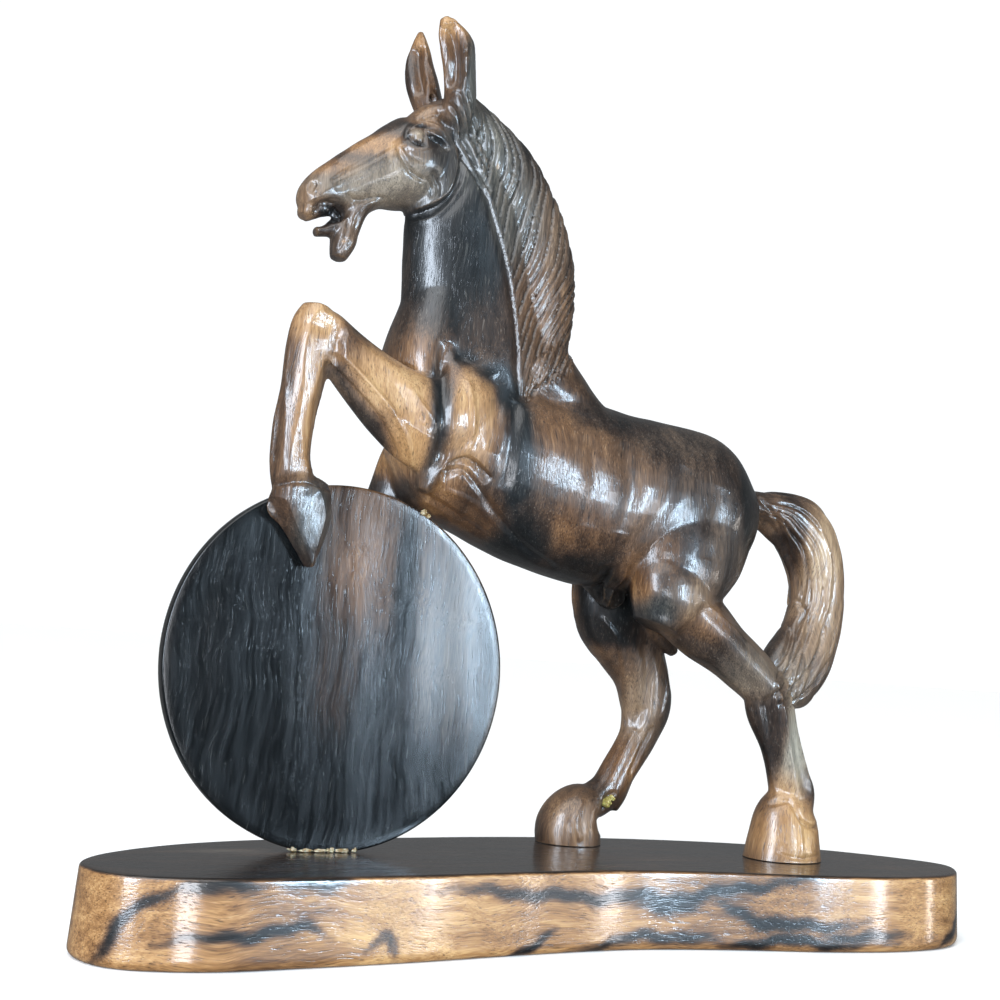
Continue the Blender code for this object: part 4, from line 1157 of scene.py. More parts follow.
@dataclass
class Horse:
    """The horse, carved from one block: limbs fused, rubbed smooth, carved, then cut where it rests."""

    height: float = STATION_HEIGHT  # from the plinth's top to the near ear's tip
    voxel: float = 0.5              # grain of the block that the limbs are fused in
    rub: float = 0.5                # how hard one pass rubs the block before it is carved
    rub_passes: int = 18
    polish_rub: float = 0.4         # the same for the two passes after carving
    tube_sides: int = 40
    steps_per_span: int = 8
    triangles: int = 196_000
    tool_mark: float = 0.07         # height of the soft facets that scraping leaves
    far_share: float = 0.8          # depth of the cuts on the hidden side, against the near side
    far_ear_share: float = 0.6
    finish: PolishedEbony = PolishedEbony("polished striped ebony, carved", grain=2, roughness=0.38, wax=0.7,
                                          polish=0.13, scratch=0.05, dust=0.14, edge_wear_and_highlight=0.5)

    @property
    def figure(self) -> float:
        """Size against the horse that the stations describe."""
        return self.height / STATION_HEIGHT

    def place(self, x: float, y: float, z: float) -> tuple[float, float, float]:
        """A station's place in mm, in the frame of the whole."""
        return (x * self.figure + HORSE_X, y * self.figure + HORSE_MIDDLE_Y,
                z * self.figure + PLINTH_THICKNESS)

    def stations_of(self, places: np.ndarray) -> tuple[np.ndarray, np.ndarray, np.ndarray]:
        """Places in the frame of the whole as station x, y, z.

        Args:
            places: Rows of x, y and z in mm.

        Returns:
            Station x, y and z of each place.
        """
        shift = np.array([HORSE_X, HORSE_MIDDLE_Y, PLINTH_THICKNESS])
        x, y, z = ((places - shift) / self.figure).T
        return x, y, z

    def limb(self, stations: tuple[Station, ...], edge: float) -> tuple[list, list]:
        """A closed tube square to its own centre line.

        Args:
            stations: Its sections.
            edge: How far they go from an ellipse, 1, towards a diamond.

        Returns:
            Vertices in metres and faces.
        """
        rows = smooth_rows(stations, self.steps_per_span)
        sides = self.tube_sides
        verts = []
        for i, row in enumerate(rows):
            run = rows[min(i + 1, len(rows) - 1)] - rows[max(i - 1, 0)]
            length = math.hypot(run[0], run[2])
            across = (-run[2] / length, run[0] / length)
            for k in range(sides):
                angle = 2 * math.pi * k / sides
                wide = math.copysign(abs(math.cos(angle)) ** edge, math.cos(angle)) * max(row[3], 0.5)
                deep = math.copysign(abs(math.sin(angle)) ** edge, math.sin(angle)) * max(row[4], 0.5)
                spot = self.place(row[0] + across[0] * wide, row[1] + deep, row[2] + across[1] * wide)
                verts.append([c * MM for c in spot])
        faces = []
        for i in range(len(rows) - 1):
            for k in range(sides):
                after = (k + 1) % sides
                faces.append((i * sides + k, (i + 1) * sides + k, (i + 1) * sides + after, i * sides + after))
        faces.append(tuple(range(sides)))
        faces.append(tuple(len(verts) - sides + k for k in reversed(range(sides))))
        return verts, faces

    def build_block(self) -> bpy.types.Object:
        """Fuse the limbs into one block and rub it smooth.

        Returns:
            The block.
        """
        verts, faces = [], []
        for name, stations in LIMBS.items():
            limb_verts, limb_faces = self.limb(stations, EDGED.get(name, 1.0))
            faces += [tuple(index + len(verts) for index in face) for face in limb_faces]
            verts += limb_verts
        horse = new_piece("carved_horse", verts, faces)
        turn_faces_out(horse)
        finish_modifier(horse, "REMESH", mode="VOXEL", voxel_size=self.voxel * self.figure * MM)
        finish_modifier(horse, "SMOOTH", factor=self.rub, iterations=self.rub_passes)
        return horse

    def strike(self, cuts: Iterable[Cut], side: Side, x: np.ndarray, y: np.ndarray, z: np.ndarray,
               normals: np.ndarray, share: float = 1.0) -> np.ndarray:
        """Make a run of cuts on the surfaces of one side.

        Args:
            cuts: The cuts.
            side: The surfaces that they touch.
            x: Station x of each vertex.
            y: Station y.
            z: Station z.
            normals: Vertex normals.
            share: Share of their depth.

        Returns:
            How far each vertex rises, below zero where it sinks.
        """
        lowest, highest, facing = side.value
        rise = np.zeros(len(x))
        for cut in cuts:
            points = np.array(cut.line)
            margin = CUT_MARGIN * cut.reach
            low, high = points.min(axis=0) - margin, points.max(axis=0) + margin
            here = np.flatnonzero((x > low[0]) & (x < high[0]) & (z > low[1]) & (z < high[1])
                                  & (y > lowest) & (y < highest) & (normals[:, 1] * facing > 0))
            weight = np.clip(FACING_GAIN * normals[here, 1] * facing, 0, 1)
            rise[here] -= share * weight * cut.sink(x[here], z[here])
        return rise

    def carve(self, horse: bpy.types.Object) -> None:
        """Cut hair, features and muscles into the rubbed block, along its normals.

        Args:
            horse: The block.
        """
        spots = np.stack(self.stations_of(read_places(horse.data)), axis=1)
        for facet in FACETS:
            spots = facet.pare(spots)
        places = spots * self.figure + (HORSE_X, HORSE_MIDDLE_Y, PLINTH_THICKNESS)
        write_places(horse.data, places)
        normals = read_normals(horse.data)
        x, y, z = spots.T
        rise = np.zeros(len(x))
        for fan in (MANE, TAIL):
            hair = fan.reach(x, z)
            rise[hair] += fan.relief(x[hair], z[hair])
        args = (x, y, z, normals)
        for cuts in (HEAD_CUTS, EAR_CUTS, NECK_CUTS, CHEST_CUTS, HAUNCH_CUTS, TAIL_CUTS):
            rise += self.strike(cuts, Side.NEAR, *args)
        for cuts in (HEAD_CUTS, NECK_CUTS, TAIL_CUTS):
            rise += self.strike(cuts, Side.FAR, *args)
        rise += self.strike(CHEST_CUTS[:6] + HAUNCH_CUTS[:7], Side.FAR, *args, share=self.far_share)
        rise += self.strike(FAR_LEG_CUTS + FAR_EAR_CUTS, Side.FAR_LEGS, *args)
        rise += self.strike(FAR_EAR_CUTS, Side.FAR, *args, share=self.far_ear_share)
        for spot in HEAD_SPOTS + HAUNCH_SPOTS:
            for mirror in (1, -1):
                gap = np.sqrt((x - spot.x) ** 2 + (y - spot.y * mirror) ** 2 + (z - spot.z) ** 2)
                rise += spot.rise * np.exp(-(gap / spot.reach) ** 2)
        fine = np.sin(x / 2.3 + 1.7 * np.sin(z / 7.3)) * np.sin(z / 3.1 + 1.3 * np.sin(y / 4.1))
        broad = np.sin(x / 5.7 + y / 3.9 + 2.1 * np.sin(z / 9.7))
        rise += self.tool_mark * fine
        rise += self.tool_mark * broad
        places += normals * (rise * self.figure)[:, None]
        write_places(horse.data, places)
        finish_modifier(horse, "SMOOTH", factor=self.polish_rub, iterations=2)

    def cut_rests(self, horse: bpy.types.Object, cutters: list[bpy.types.Object]) -> None:
        """Thin the mesh and take the disc's and the plinth's room out of it.

        Args:
            horse: The carved block.
            cutters: Blocks of the room that they take.
        """
        horse.data.calc_loop_triangles()
        finish_modifier(horse, "DECIMATE", ratio=self.triangles / len(horse.data.loop_triangles))
        for cutter in cutters:
            finish_modifier(horse, "BOOLEAN", operation="DIFFERENCE", solver="EXACT", object=cutter)

    def dress(self, horse: bpy.types.Object) -> None:
        """Paint where the wood is light, dark or bloomed, with painted shade between the haunches and in the
        hair's valleys, and give it its finish.

        Args:
            horse: The carved horse.
        """
        x, y, z = self.stations_of(read_places(horse.data))
        tone, cool = blend_patches(x, z, HORSE_PATCHES, HORSE_TONE, HORSE_COOL)
        # painted shade on the inner surfaces between the haunches
        low, high = SHADED_HOLLOW
        deep = np.clip((low[1] - np.abs(y)) / HOLLOW_SHADE_FADE, 0, 1)
        for place, start, end in ((x, low[0], high[0]), (z, low[2], high[2])):
            deep = deep * np.clip((place - start) / HOLLOW_SHADE_FADE, 0, 1)
            deep = deep * np.clip((end - place) / HOLLOW_SHADE_FADE, 0, 1)
        tone = tone * (1 - deep) + HOLLOW_SHADE_TONE * deep
        for fan in (MANE, TAIL):
            hair = fan.reach(x, z)
            # painted shade in the hair's valleys and painted highlight on its crests
            tone[hair] += HAIR_PAINTED_SHADE * fan.relief(x[hair], z[hair])
        self.finish.coat(horse, tone, cool)

    def build(self, cutters: list[bpy.types.Object]) -> bpy.types.Object:
        """Make the finished horse.

        Args:
            cutters: Blocks of the room that the disc and the plinth take.

        Returns:
            The horse.
        """
        horse = self.build_block()
        self.carve(horse)
        self.cut_rests(horse, cutters)
        self.dress(horse)
        shade(horse, CRISP_ANGLE)
        settle(horse, "horse")
        return horse


# Light and dark wood on the disc's face, and a painted sheen towards its right edge
DISC_PATCHES = tuple(Patch(*row) for row in (
    (-70, 92, 12, 18, 0.54, 0.1), (-76, 55, 10, 20, 0.26, 0.2), (-66, 112, 14, 10, 0.46, 0.2),
    # (-38, 72): a painted sheen along the right of the face
    (-54.5, 94, 3.2, 24, 0.02, 0.9), (-38, 72, 8, 30, 0.46, 0.6), (-46, 98, 5, 16, 0.44, 0.3),
    (-116, 60, 20, 40, -0.10, 0.8), (-78, 18, 34, 14, -0.15, 0.8), (-106, 100, 14, 10, 0.12, 0.8),
    (-131, 62, 4, 20, 0.22, 0.2), (-98, 80, 8, 16, 0.0, 0.6), (-62, 44, 9, 16, 0.12, 0.6),
))


DISC_TONE = 0.2             # tone and coolness between the patches
DISC_COOL = 0.4


@dataclass
class Disc:
    """The blank disc, hand cut, upright on its rim."""

    radius: float = DISC_RADIUS
    thickness: float = DISC_THICKNESS
    edge: float = 0.8               # radius of the rubbed rims
    sides: int = 256
    rings: int = 22
    core: float = 0.12              # share of the radius that the rings leave in the middle
    hollow: float = 0.18            # how uneven the planed faces are
    true_rim: float = 3.0           # width at the rim that stays flat
    rim_fade: float = 6.0           # width over which the unevenness starts
    finish: PolishedEbony = PolishedEbony(
        "ebony heartwood, planed and scraped", grain=2, band=7.0, streak=1.6, variation=0.4, roughness=0.2,
        wax=0.0, scratch=0.012, dust=0.05, edge_wear_and_highlight=0.0)

    def centre_z(self) -> float:
        """Height of its middle above the underside of the plinth.

        Returns:
            The height in mm.
        """
        foot = self.radius * (1 + DISC_OVAL * math.cos(2 * math.radians(DISC_LEAN)))
        return PLINTH_THICKNESS + FIT_GAP + foot - DISC_FLAT

    def wheel(self, name: str, radius: float, front: float, back: float) -> bpy.types.Object:
        """A thick oval plate with rubbed rims, upright.

        Args:
            name: The object's name.
            radius: Its mean radius.
            front: Place of its front face.
            back: Place of its back face.

        Returns:
            The plate.
        """
        bpy.ops.object.select_all(action="DESELECT")
        bpy.ops.mesh.primitive_cylinder_add(
            vertices=self.sides, radius=radius * MM, depth=(back - front) * MM, end_fill_type="NGON",
            rotation=(math.pi / 2, 0, 0),
            location=(DISC_X * MM, (front + back) / 2 * MM, self.centre_z() * MM))
        plate = bpy.context.object
        plate.name = plate.data.name = name
        bpy.ops.object.transform_apply(location=True, rotation=True, scale=True)
        places = read_places(plate.data)
        across = places[:, (0, 2)] - (DISC_X, self.centre_z())
        angle = np.arctan2(across[:, 1], across[:, 0])
        reach = np.hypot(*across.T)
        longer = reach + self.radius * DISC_OVAL * np.cos(2 * (angle - math.radians(90 + DISC_LEAN)))
        places[:, 0] = DISC_X + longer * np.cos(angle)
        places[:, 2] = self.centre_z() + longer * np.sin(angle)
        write_places(plate.data, places)
        finish_modifier(plate, "BEVEL", width=self.edge * MM, segments=4, limit_method="ANGLE",
                        angle_limit=math.radians(CRISP_ANGLE))
        return plate

    def ring_faces(self, plate: bpy.types.Object) -> None:
        """Inset both faces again and again, so that they can be uneven and painted.

        Args:
            plate: The disc.
        """
        step = (self.radius - self.edge) * (1 - self.core) / self.rings * MM
        for _ in range(self.rings):
            pick_up(plate)
            bpy.ops.object.mode_set(mode="EDIT")
            bpy.ops.mesh.select_all(action="DESELECT")
            bpy.ops.object.mode_set(mode="OBJECT")
            for face in plate.data.polygons:
                face.select = len(face.vertices) > 8
            bpy.ops.object.mode_set(mode="EDIT")
            bpy.ops.mesh.select_mode(type="FACE")
            bpy.ops.mesh.inset(thickness=step, depth=0, use_individual=True)
            bpy.ops.object.mode_set(mode="OBJECT")

    def dress(self, plate: bpy.types.Object) -> None:
        """Make the faces slightly uneven, paint them, and give the disc its finish.

        Args:
            plate: The ringed disc.
        """
        places = read_places(plate.data)
        x = places[:, 0] - HORSE_X
        z = places[:, 2] - PLINTH_THICKNESS
        from_middle = np.hypot(places[:, 0] - DISC_X, places[:, 2] - self.centre_z())
        inner = np.clip((self.radius - self.true_rim - from_middle) / self.rim_fade, 0, 1)
        front = places[:, 1] < DISC_FRONT_Y + self.thickness / 2
        wave = np.sin(x / 9.1 + 0.7 * np.sin(z / 23)) * np.cos(z / 31) + 0.5 * np.sin(x / 3.3 + z / 60)
        places[:, 1] += np.where(front, 1, -1) * inner * self.hollow * (1 + wave) / 2
        write_places(plate.data, places)
        self.finish.coat(plate, *blend_patches(x, z, DISC_PATCHES, DISC_TONE, DISC_COOL))

    def build(self, ground: bpy.types.Object) -> bpy.types.Object:
        """Make the finished disc, flattened where it stands.

        Args:
            ground: A block up to just above the plinth's top.

        Returns:
            The disc.
        """
        disc = self.wheel("blank_disc", self.radius, DISC_FRONT_Y, DISC_FRONT_Y + self.thickness)
        self.ring_faces(disc)
        finish_modifier(disc, "BOOLEAN", operation="DIFFERENCE", solver="EXACT", object=ground)
        self.dress(disc)
        shade(disc, CRISP_ANGLE)
        settle(disc, "disc")
        return disc

    def room(self) -> bpy.types.Object:
        """The disc with the fitting gap all round, to cut the horse with.

        Returns:
            The block.
        """
        return self.wheel("disc room", self.radius + FIT_GAP, DISC_FRONT_Y - FIT_GAP,
                          DISC_FRONT_Y + self.thickness + FIT_GAP)


# Black heart streaks on the plinth's side, as x and z with a half width
PLINTH_STREAKS = (
    (((-128, 25), (-142, 21), (-151, 14), (-154, 6), (-157, 0)), 1.2),
    (((-112, 24), (-126, 24), (-138, 21)), 1.8),
    (((-143, 8), (-120, 10), (-101, 11.5), (-91, 9)), 1.3),
    (((-80, 5), (-73, 7.5), (-70, 1)), 1.6),
    (((-60, 22), (-47, 21), (-34, 20), (-12, 18), (14, 17), (36, 17), (53, 20), (79, 24), (95, 26)), 1.7),
    (((14, 15.5), (28, 15), (42, 15.5)), 2.6),
    (((44, 17), (57, 12), (69, 9), (86, 9), (104, 10)), 1.8),
    (((-8, 0), (15, 4), (37, 4.5), (50, 2)), 1.6),
    (((49, 1), (69, 4), (87, 3), (117, 3.5)), 1.5),
    (((84, 6), (100, 5), (122, 7)), 1.6),
    (((-31, 0), (-22, 3), (-13, 7)), 1.2),
    (((-110, 25), (-96, 24), (-86, 26)), 2.2),
    (((150, 26), (159, 19), (157, 9), (160, 0)), 2.2),
    (((136, 0), (146, 6), (152, 14)), 1.4),
)
# The outline seen from above, as shares of the half length and the half width
PLINTH_OUTLINE = (
    (-1.00, -0.44), (-0.95, -0.84), (-0.80, -1.00), (-0.62, -0.96), (-0.39, -0.86),
    (-0.14, -0.71), (0.10, -0.62), (0.33, -0.69), (0.55, -0.83), (0.75, -0.87),
    (0.91, -0.72), (1.00, -0.26), (0.92, 0.16), (0.76, 0.57), (0.54, 0.86),
    (0.26, 1.00), (-0.02, 0.98), (-0.30, 0.84), (-0.55, 0.70), (-0.77, 0.42), (-0.94, -0.02),
)


SIDE_TONE = 0.74            # the plinth's side between its streaks
SIDE_DRIFT = 0.06           # how far that tone drifts along the side
STREAK_DROP = 0.64          # how much darker a streak is
STREAK_COOL = 0.45
TOP_TONE = 0.27
TOP_COOL = 0.2
SCUFF_PLACE = (-113.0, 4.0)     # the scuffed spot in front of the disc
SCUFF_REACH = (16.0, 5.0)
SCUFF_TONE = 0.35
SCUFF_COOL = 0.5
FAR_SHIFT = 18.0            # how far the far side's streaks are moved, so that the sides differ


@dataclass
class Plinth:
    """The wavy oval plinth: a slab sawn to shape, its side sanded along the grain and varnished."""

    length: float = 323.0
    width: float = 89.0
    thickness: float = PLINTH_THICKNESS
    flare: float = 1.2              # how far the side stands out at the bottom
    top_edge: float = 1.2
    foot_edge: float = 2.4
    outline_steps: int = 24
    crisp: float = 40.0             # degrees: edges that turn more than this look sharp
    layers: int = 22
    rings: int = 16
    top_core: float = 0.96          # share of the top that the rings close in over
    finish: PolishedEbony = PolishedEbony(
        "striped ebony slab, varnished", grain=0, band=5.0, streak=1.3, variation=0.6, roughness=0.36,
        wax=1.0, polish=0.09, scratch=0.03, dust=0.12)

    def outline(self) -> tuple[np.ndarray, np.ndarray]:
        """The top outline in mm, and the way out at each point.

        Returns:
            Rows of x and y, and rows of unit vectors.
        """
        points = smooth_rows(PLINTH_OUTLINE, self.outline_steps, closed=True)
        lowest, highest = points.min(axis=0), points.max(axis=0)
        points = (2 * points - lowest - highest) / (highest - lowest)
        points = points * (self.length / 2 - self.flare, self.width / 2 - self.flare)
        run = np.roll(points, -1, axis=0) - np.roll(points, 1, axis=0)
        out = np.stack([run[:, 1], -run[:, 0]], axis=1)
        return points, out / np.linalg.norm(out, axis=1)[:, None]

    def profile(self) -> list[tuple[float, float]]:
        """The side from foot to top edge, as how far it stands out and its height.

        Returns:
            The rows in mm.
        """
        quarter = np.linspace(0, math.pi / 2, 6)
        rows = [(self.flare - self.foot_edge + self.foot_edge * math.sin(a),
                 self.foot_edge - self.foot_edge * math.cos(a)) for a in quarter]
        low, high = self.foot_edge, self.thickness - self.top_edge
        for share in np.linspace(0, 1, self.layers)[1:-1]:
            rows.append((self.flare * (1 - share), low + (high - low) * share))
        rows += [(-self.top_edge + self.top_edge * math.cos(a), high + self.top_edge * math.sin(a))
                 for a in quarter]
        return rows

    def slab(self) -> bpy.types.Object:
        """The slab: a filled ring raised layer by layer, with the top closed in by rings.

        Returns:
            The slab.
        """
        points, out = self.outline()
        bpy.ops.object.select_all(action="DESELECT")
        bpy.ops.mesh.primitive_circle_add(
            vertices=len(points), radius=self.length / 2 * MM, fill_type="NGON")
        slab = bpy.context.object
        slab.name = slab.data.name = "wavy_plinth"
        rows = self.profile()
        for _ in rows[1:]:
            bpy.ops.object.mode_set(mode="EDIT")
            bpy.ops.mesh.extrude_region_move(TRANSFORM_OT_translate={"value": (0, 0, MM)})
            bpy.ops.object.mode_set(mode="OBJECT")
        places = read_places(slab.data)
        layer = np.rint(places[:, 2]).astype(int)
        angle = np.arctan2(places[:, 1], places[:, 0])
        for level, (offset, z) in enumerate(rows):
            here = np.flatnonzero(layer == level)
            order = here[np.argsort(angle[here])]
            turn = np.argsort(np.arctan2(points[:, 1], points[:, 0]))
            start = points + out * offset
            places[order, 0], places[order, 1] = start[turn].T
            places[order, 2] = z
        write_places(slab.data, places)
        shares = 1 - self.top_core * np.linspace(0, 1, self.rings + 1) ** 1.3
        for outer, inner in zip(shares, shares[1:]):
            bpy.ops.object.mode_set(mode="EDIT")
            bpy.ops.mesh.extrude_region_move()
            bpy.ops.transform.resize(value=(inner / outer, inner / outer, 1),
                                     center_override=(0, 0, self.thickness * MM))
            bpy.ops.object.mode_set(mode="OBJECT")
        turn_faces_out(slab)
        return slab

    def dress(self, slab: bpy.types.Object) -> None:
        """Paint the streaks of the side and the dark, dusty top, and give the slab its finish.

        Args:
            slab: The slab.
        """
        places = read_places(slab.data)
        x, y, z = places.T
        near = y < 0
        side_x = np.where(near, x, -x + FAR_SHIFT)
        streak = np.zeros(len(x))
        # The streaks' edges wander a little along the grain
        swayed = z + 0.7 * np.sin(side_x / 4.7 + 1) + 0.45 * np.sin(side_x / 1.9)
        for line, half in PLINTH_STREAKS:
            gap, _, share = follow(side_x, swayed, line)
            body = np.sin(math.pi * np.clip(share, 0.04, 0.96)) ** 0.6
            streak = np.maximum(streak, body * np.exp(-(gap / (half * (0.5 + 0.7 * body))) ** 2))
        drift = SIDE_DRIFT * (np.sin(x / 31) + np.cos(x / 13 + 2))
        tone = SIDE_TONE - drift - STREAK_DROP * streak
        cool = STREAK_COOL * streak
        up = read_normals(slab.data)[:, 2]
        top = np.clip((z - self.thickness + 0.8) / 0.6, 0, 1) * np.clip(up * 2 - 0.4, 0, 1)
        scuff = np.exp(-((x - SCUFF_PLACE[0]) / SCUFF_REACH[0]) ** 2
                       - ((y - SCUFF_PLACE[1]) / SCUFF_REACH[1]) ** 2)
        tone = tone * (1 - top) + top * (TOP_TONE + 0.05 * np.sin(x / 17) + SCUFF_TONE * scuff)
        cool = cool * (1 - top) + top * (TOP_COOL + SCUFF_COOL * scuff)
        self.finish.coat(slab, tone, cool)

    def build(self) -> bpy.types.Object:
        """Make the finished plinth.

        Returns:
            The plinth.
        """
        slab = self.slab()
        self.dress(slab)
        shade(slab, self.crisp)
        settle(slab, "plinth")
        return slab

    def room(self) -> bpy.types.Object:
        """A block up to just above the plinth's top, which flattens what stands there.

        Returns:
            The block.
        """
        bpy.ops.object.select_all(action="DESELECT")
        depth = 2 * self.thickness
        middle_z = self.thickness + FIT_GAP - depth / 2
        bpy.ops.mesh.primitive_cube_add(size=1, location=(0, 0, middle_z * MM))
        block = bpy.context.object
        block.name = "ground room"
        block.scale = (2 * self.length * MM, 3 * self.width * MM, depth * MM)
        bpy.ops.object.transform_apply(location=True, rotation=True, scale=True)
        return block


@dataclass
class Repairs:
    """Old glue: crumbs under the disc, a chip where it meets the chest, and amber in a broken notch.

    Each crumb is x, y, z of its middle in the frame of the whole, and its half sizes.
    """

    crumbs: tuple[Lump, ...] = (
        (-90.6, 4.2, 26.7, 1.6, 1.4, 1.2), (-86.5, 3.4, 26.2, 2.6, 1.1, 0.6),
        (-82.0, 3.2, 26.2, 2.2, 1.0, 0.6), (-78.4, 3.6, 26.4, 1.6, 1.3, 0.9),
        (-74.6, 3.3, 26.3, 2.4, 1.0, 0.7), (-70.4, 3.6, 26.5, 1.2, 1.0, 0.8),
    )
    chips: tuple[Lump, ...] = ((-56.2, 2.6, 136.9, 1.0, 1.0, 1.1), (-54.6, 2.7, 135.9, 0.9, 0.8, 0.7))
    amber: tuple[Lump, ...] = ((32.4, 24.6, 41.0, 1.6, 2.9, 2.0), (34.2, 24.4, 42.6, 1.3, 2.2, 1.1))

    def lumps(self, name: str, rows: tuple[Lump, ...], finish: HideGlue) -> bpy.types.Object:
        """Join hardened lumps into one piece.

        Args:
            name: The piece's name.
            rows: Middles and half sizes.
            finish: The glue.

        Returns:
            The piece.
        """
        parts = []
        for number, (x, y, z, *half) in enumerate(rows):
            bpy.ops.object.select_all(action="DESELECT")
            bpy.ops.mesh.primitive_ico_sphere_add(subdivisions=4, radius=MM)
            lump = bpy.context.object
            places = read_places(lump.data)
            rough = (1 + 0.16 * np.sin(5 * places[:, 0] + 2 * number) * np.cos(4 * places[:, 1] + number)
                     + 0.1 * np.sin(9 * places[:, 2] + 3 * places[:, 0]))
            places = places * rough[:, None] * half + (x, y, z)
            write_places(lump.data, places)
            parts.append(lump)
        for part in parts:
            part.select_set(True)
        bpy.context.view_layer.objects.active = parts[0]
        bpy.ops.object.join()
        piece = bpy.context.object
        piece.name = piece.data.name = name
        piece.data.materials.clear()
        piece.data.materials.append(finish.material())
        shade(piece, 60)
        settle(piece)
        return piece

    def build(self) -> None:
        """Make the three repairs."""
        dusty = HideGlue("old hide glue, dusty", "#7A6440", "#B9AE93")
        clear = HideGlue("old hide glue, amber", "#857838", "#A99C60")
        self.lumps("glue_under_disc", self.crumbs, dusty)
        self.lumps("glue_at_chest", self.chips, dusty)
        self.lumps("glue_in_heel_notch", self.amber, clear)


@dataclass(frozen=True)
class Softbox:
    """A soft light: where it is in metres, what it looks at, its size, power and colour."""

    name: str
    place: tuple[float, float, float]
    aim: tuple[float, float, float]
    size: tuple[float, float]
    power: float
    colour: str

    def hang(self) -> None:
        """Put the light in the scene."""
        data = bpy.data.lights.new(self.name, "AREA")
        data.shape = "RECTANGLE"
        data.size, data.size_y = self.size
        data.energy = self.power
        data.color = linear(self.colour)[:3]
        light = bpy.data.objects.new(self.name, data)
        light.location = self.place
        light.rotation_euler = (Vector(self.aim) - Vector(self.place)).to_track_quat("-Z", "Y").to_euler()
        bpy.context.scene.collection.objects.link(light)


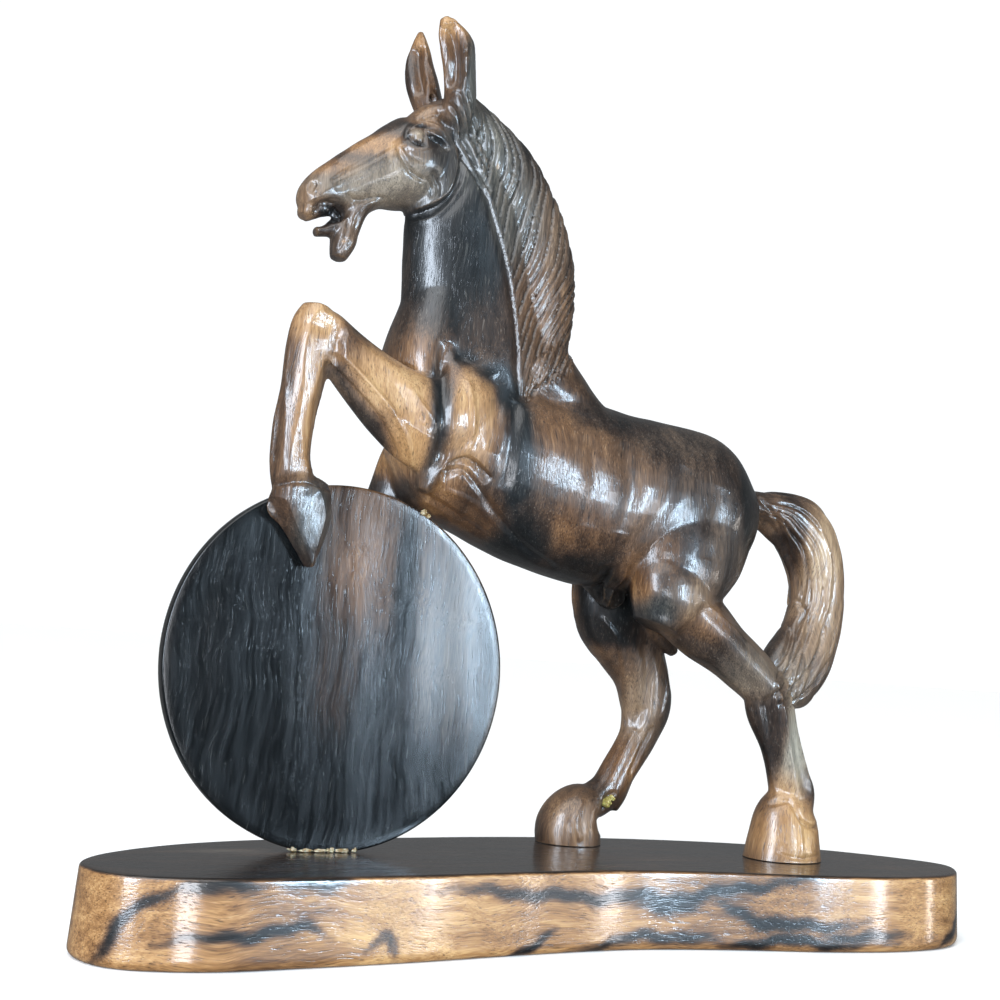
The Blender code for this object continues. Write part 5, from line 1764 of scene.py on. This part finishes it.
@dataclass
class Studio:
    """A pale floor in a pale room, soft lights, and the camera of the photograph."""

    camera_place: tuple[float, float, float] = (-238.2, -458.4, 101.5)
    yaw: float = -24.4
    tilt: float = -4.8
    roll: float = 4.5
    lens: float = 54.0
    floor_size: float = 8.0
    turn: tuple[float, float] = (-0.2, 0.5)     # where the room passes from front to back
    front_light: float = 0.3        # the room on the horse's near side
    back_light: float = 1.15        # the pale wall behind it
    mirrored: float = 0.15          # share of the room's light that the polish mirrors
    overhead: float = 1.9
    overhead_spread: float = 60.0   # degrees that the overcast light comes from
    overhead_way: tuple[float, float, float] = (0.3, 0.45, -0.84)
    lights: tuple[Softbox, ...] = (
        Softbox("window", (-0.85, -0.8, 0.34), (0, 0, 0.18), (0.36, 0.80), 18.0, "#E2EFFF"),
        Softbox("front strip", (-0.20, -1.00, 0.02), (-0.12, 0, 0.02), (0.13, 0.34), 2.4, "#F4F8FF"),
        Softbox("right strip", (0.46, -0.95, 0.19), (-0.03, 0, 0.10), (0.10, 0.38), 7.5, "#CDE8FF"),
        Softbox("far strip", (0.742, -1.00, 0.05), (0.04, 0, 0.02), (0.09, 0.30), 1.9, "#F4F8FF"),
        Softbox("end strip", (1.20, -0.66, 0.03), (0.15, 0, 0.02), (0.08, 0.30), 1.4, "#FFF8F0"),
    )

    def build(self) -> None:
        """Set the floor, the room, the lights and the camera."""
        self.lay_floor()
        self.light_room()
        self.hang_overhead()
        bpy.context.scene.view_settings.view_transform = "Standard"
        for light in self.lights:
            light.hang()
        self.set_camera()

    def lay_floor(self) -> None:
        """Lay the floor: matt white paper, which the polish doesn't mirror."""
        bpy.ops.object.select_all(action="DESELECT")
        bpy.ops.mesh.primitive_plane_add(size=self.floor_size, location=(0, 0, 0))
        floor = bpy.context.object
        floor.name = floor.data.name = "floor"
        paper = bpy.data.materials.new("matt white paper")
        paper.use_nodes = True
        shader = paper.node_tree.nodes["Principled BSDF"]
        shader.inputs["Base Color"].default_value = linear("#FAFAF8")
        shader.inputs["Roughness"].default_value = 0.9
        floor.data.materials.append(paper)
        floor.visible_glossy = False

    def light_room(self) -> None:
        """Light the room from all round: dim in front, bright behind, and little of it mirrored.

        The camera sees the bright wall on every side.
        """
        world = bpy.data.worlds.new("pale room")
        world.use_nodes = True
        sky = world.node_tree.nodes["Background"]
        sky.inputs["Color"].default_value = linear("#F4F7FA")
        way = add(world.node_tree, "ShaderNodeTexCoord").outputs["Object"]
        back = add(world.node_tree, "ShaderNodeSeparateXYZ", inputs={"Vector": way}).outputs["Y"]
        strength = add(world.node_tree, "ShaderNodeMapRange", inputs={
            "Value": back, "From Min": self.turn[0], "From Max": self.turn[1], "To Min": self.front_light,
            "To Max": self.back_light})
        mirrored = add(world.node_tree, "ShaderNodeMapRange", inputs={
            "Value": add(world.node_tree, "ShaderNodeLightPath").outputs["Is Glossy Ray"], "To Min": 1.0,
            "To Max": self.mirrored})
        strength = add(world.node_tree, "ShaderNodeMath", {"operation": "MULTIPLY"},
                       {0: strength.outputs[0], 1: mirrored.outputs[0]})
        wall = add(world.node_tree, "ShaderNodeMapRange", inputs={
            "Value": add(world.node_tree, "ShaderNodeLightPath").outputs["Is Camera Ray"],
            "To Min": strength.outputs[0], "To Max": self.back_light})
        world.node_tree.links.new(wall.outputs[0], sky.inputs["Strength"])
        bpy.context.scene.world = world

    def hang_overhead(self) -> None:
        """Hang the broad overcast light that falls from above and in front."""
        overcast = bpy.data.lights.new("overhead", "SUN")
        overcast.energy = self.overhead
        overcast.angle = math.radians(self.overhead_spread)
        sun = bpy.data.objects.new("overhead", overcast)
        sun.rotation_euler = Vector(self.overhead_way).to_track_quat("-Z", "Y").to_euler()
        bpy.context.scene.collection.objects.link(sun)

    def set_camera(self) -> None:
        """The camera, at the photograph's place and angle."""
        yaw, tilt, roll = (math.radians(angle) for angle in (self.yaw, self.tilt, self.roll))
        back = Vector((math.sin(yaw) * math.cos(tilt), -math.cos(yaw) * math.cos(tilt), math.sin(tilt)))
        right = Vector((math.cos(yaw), math.sin(yaw), 0))
        up = back.cross(right)
        turned_right = right * math.cos(roll) + up * math.sin(roll)
        turned_up = up * math.cos(roll) - right * math.sin(roll)
        data = bpy.data.cameras.new("camera")
        data.lens = self.lens
        data.sensor_width = 36.0
        data.clip_start = 0.01
        camera = bpy.data.objects.new("camera", data)
        bpy.context.scene.collection.objects.link(camera)
        turn = Matrix((turned_right, turned_up, back)).transposed().to_4x4()
        camera.matrix_world = Matrix.Translation(Vector(self.camera_place) * MM) @ turn
        bpy.context.scene.camera = camera


def main() -> None:
    """Build the studio and the pieces."""
    logging.basicConfig(level=logging.INFO, format="%(message)s")
    Studio().build()
    plinth = Plinth()
    disc = Disc()
    plinth.build()
    ground = plinth.room()
    disc.build(ground)
    wheel = disc.room()
    Horse().build([wheel, ground])
    for cutter in (wheel, ground):
        bpy.data.objects.remove(cutter, do_unlink=True)
    Repairs().build()


if __name__ == "__main__":
    main()
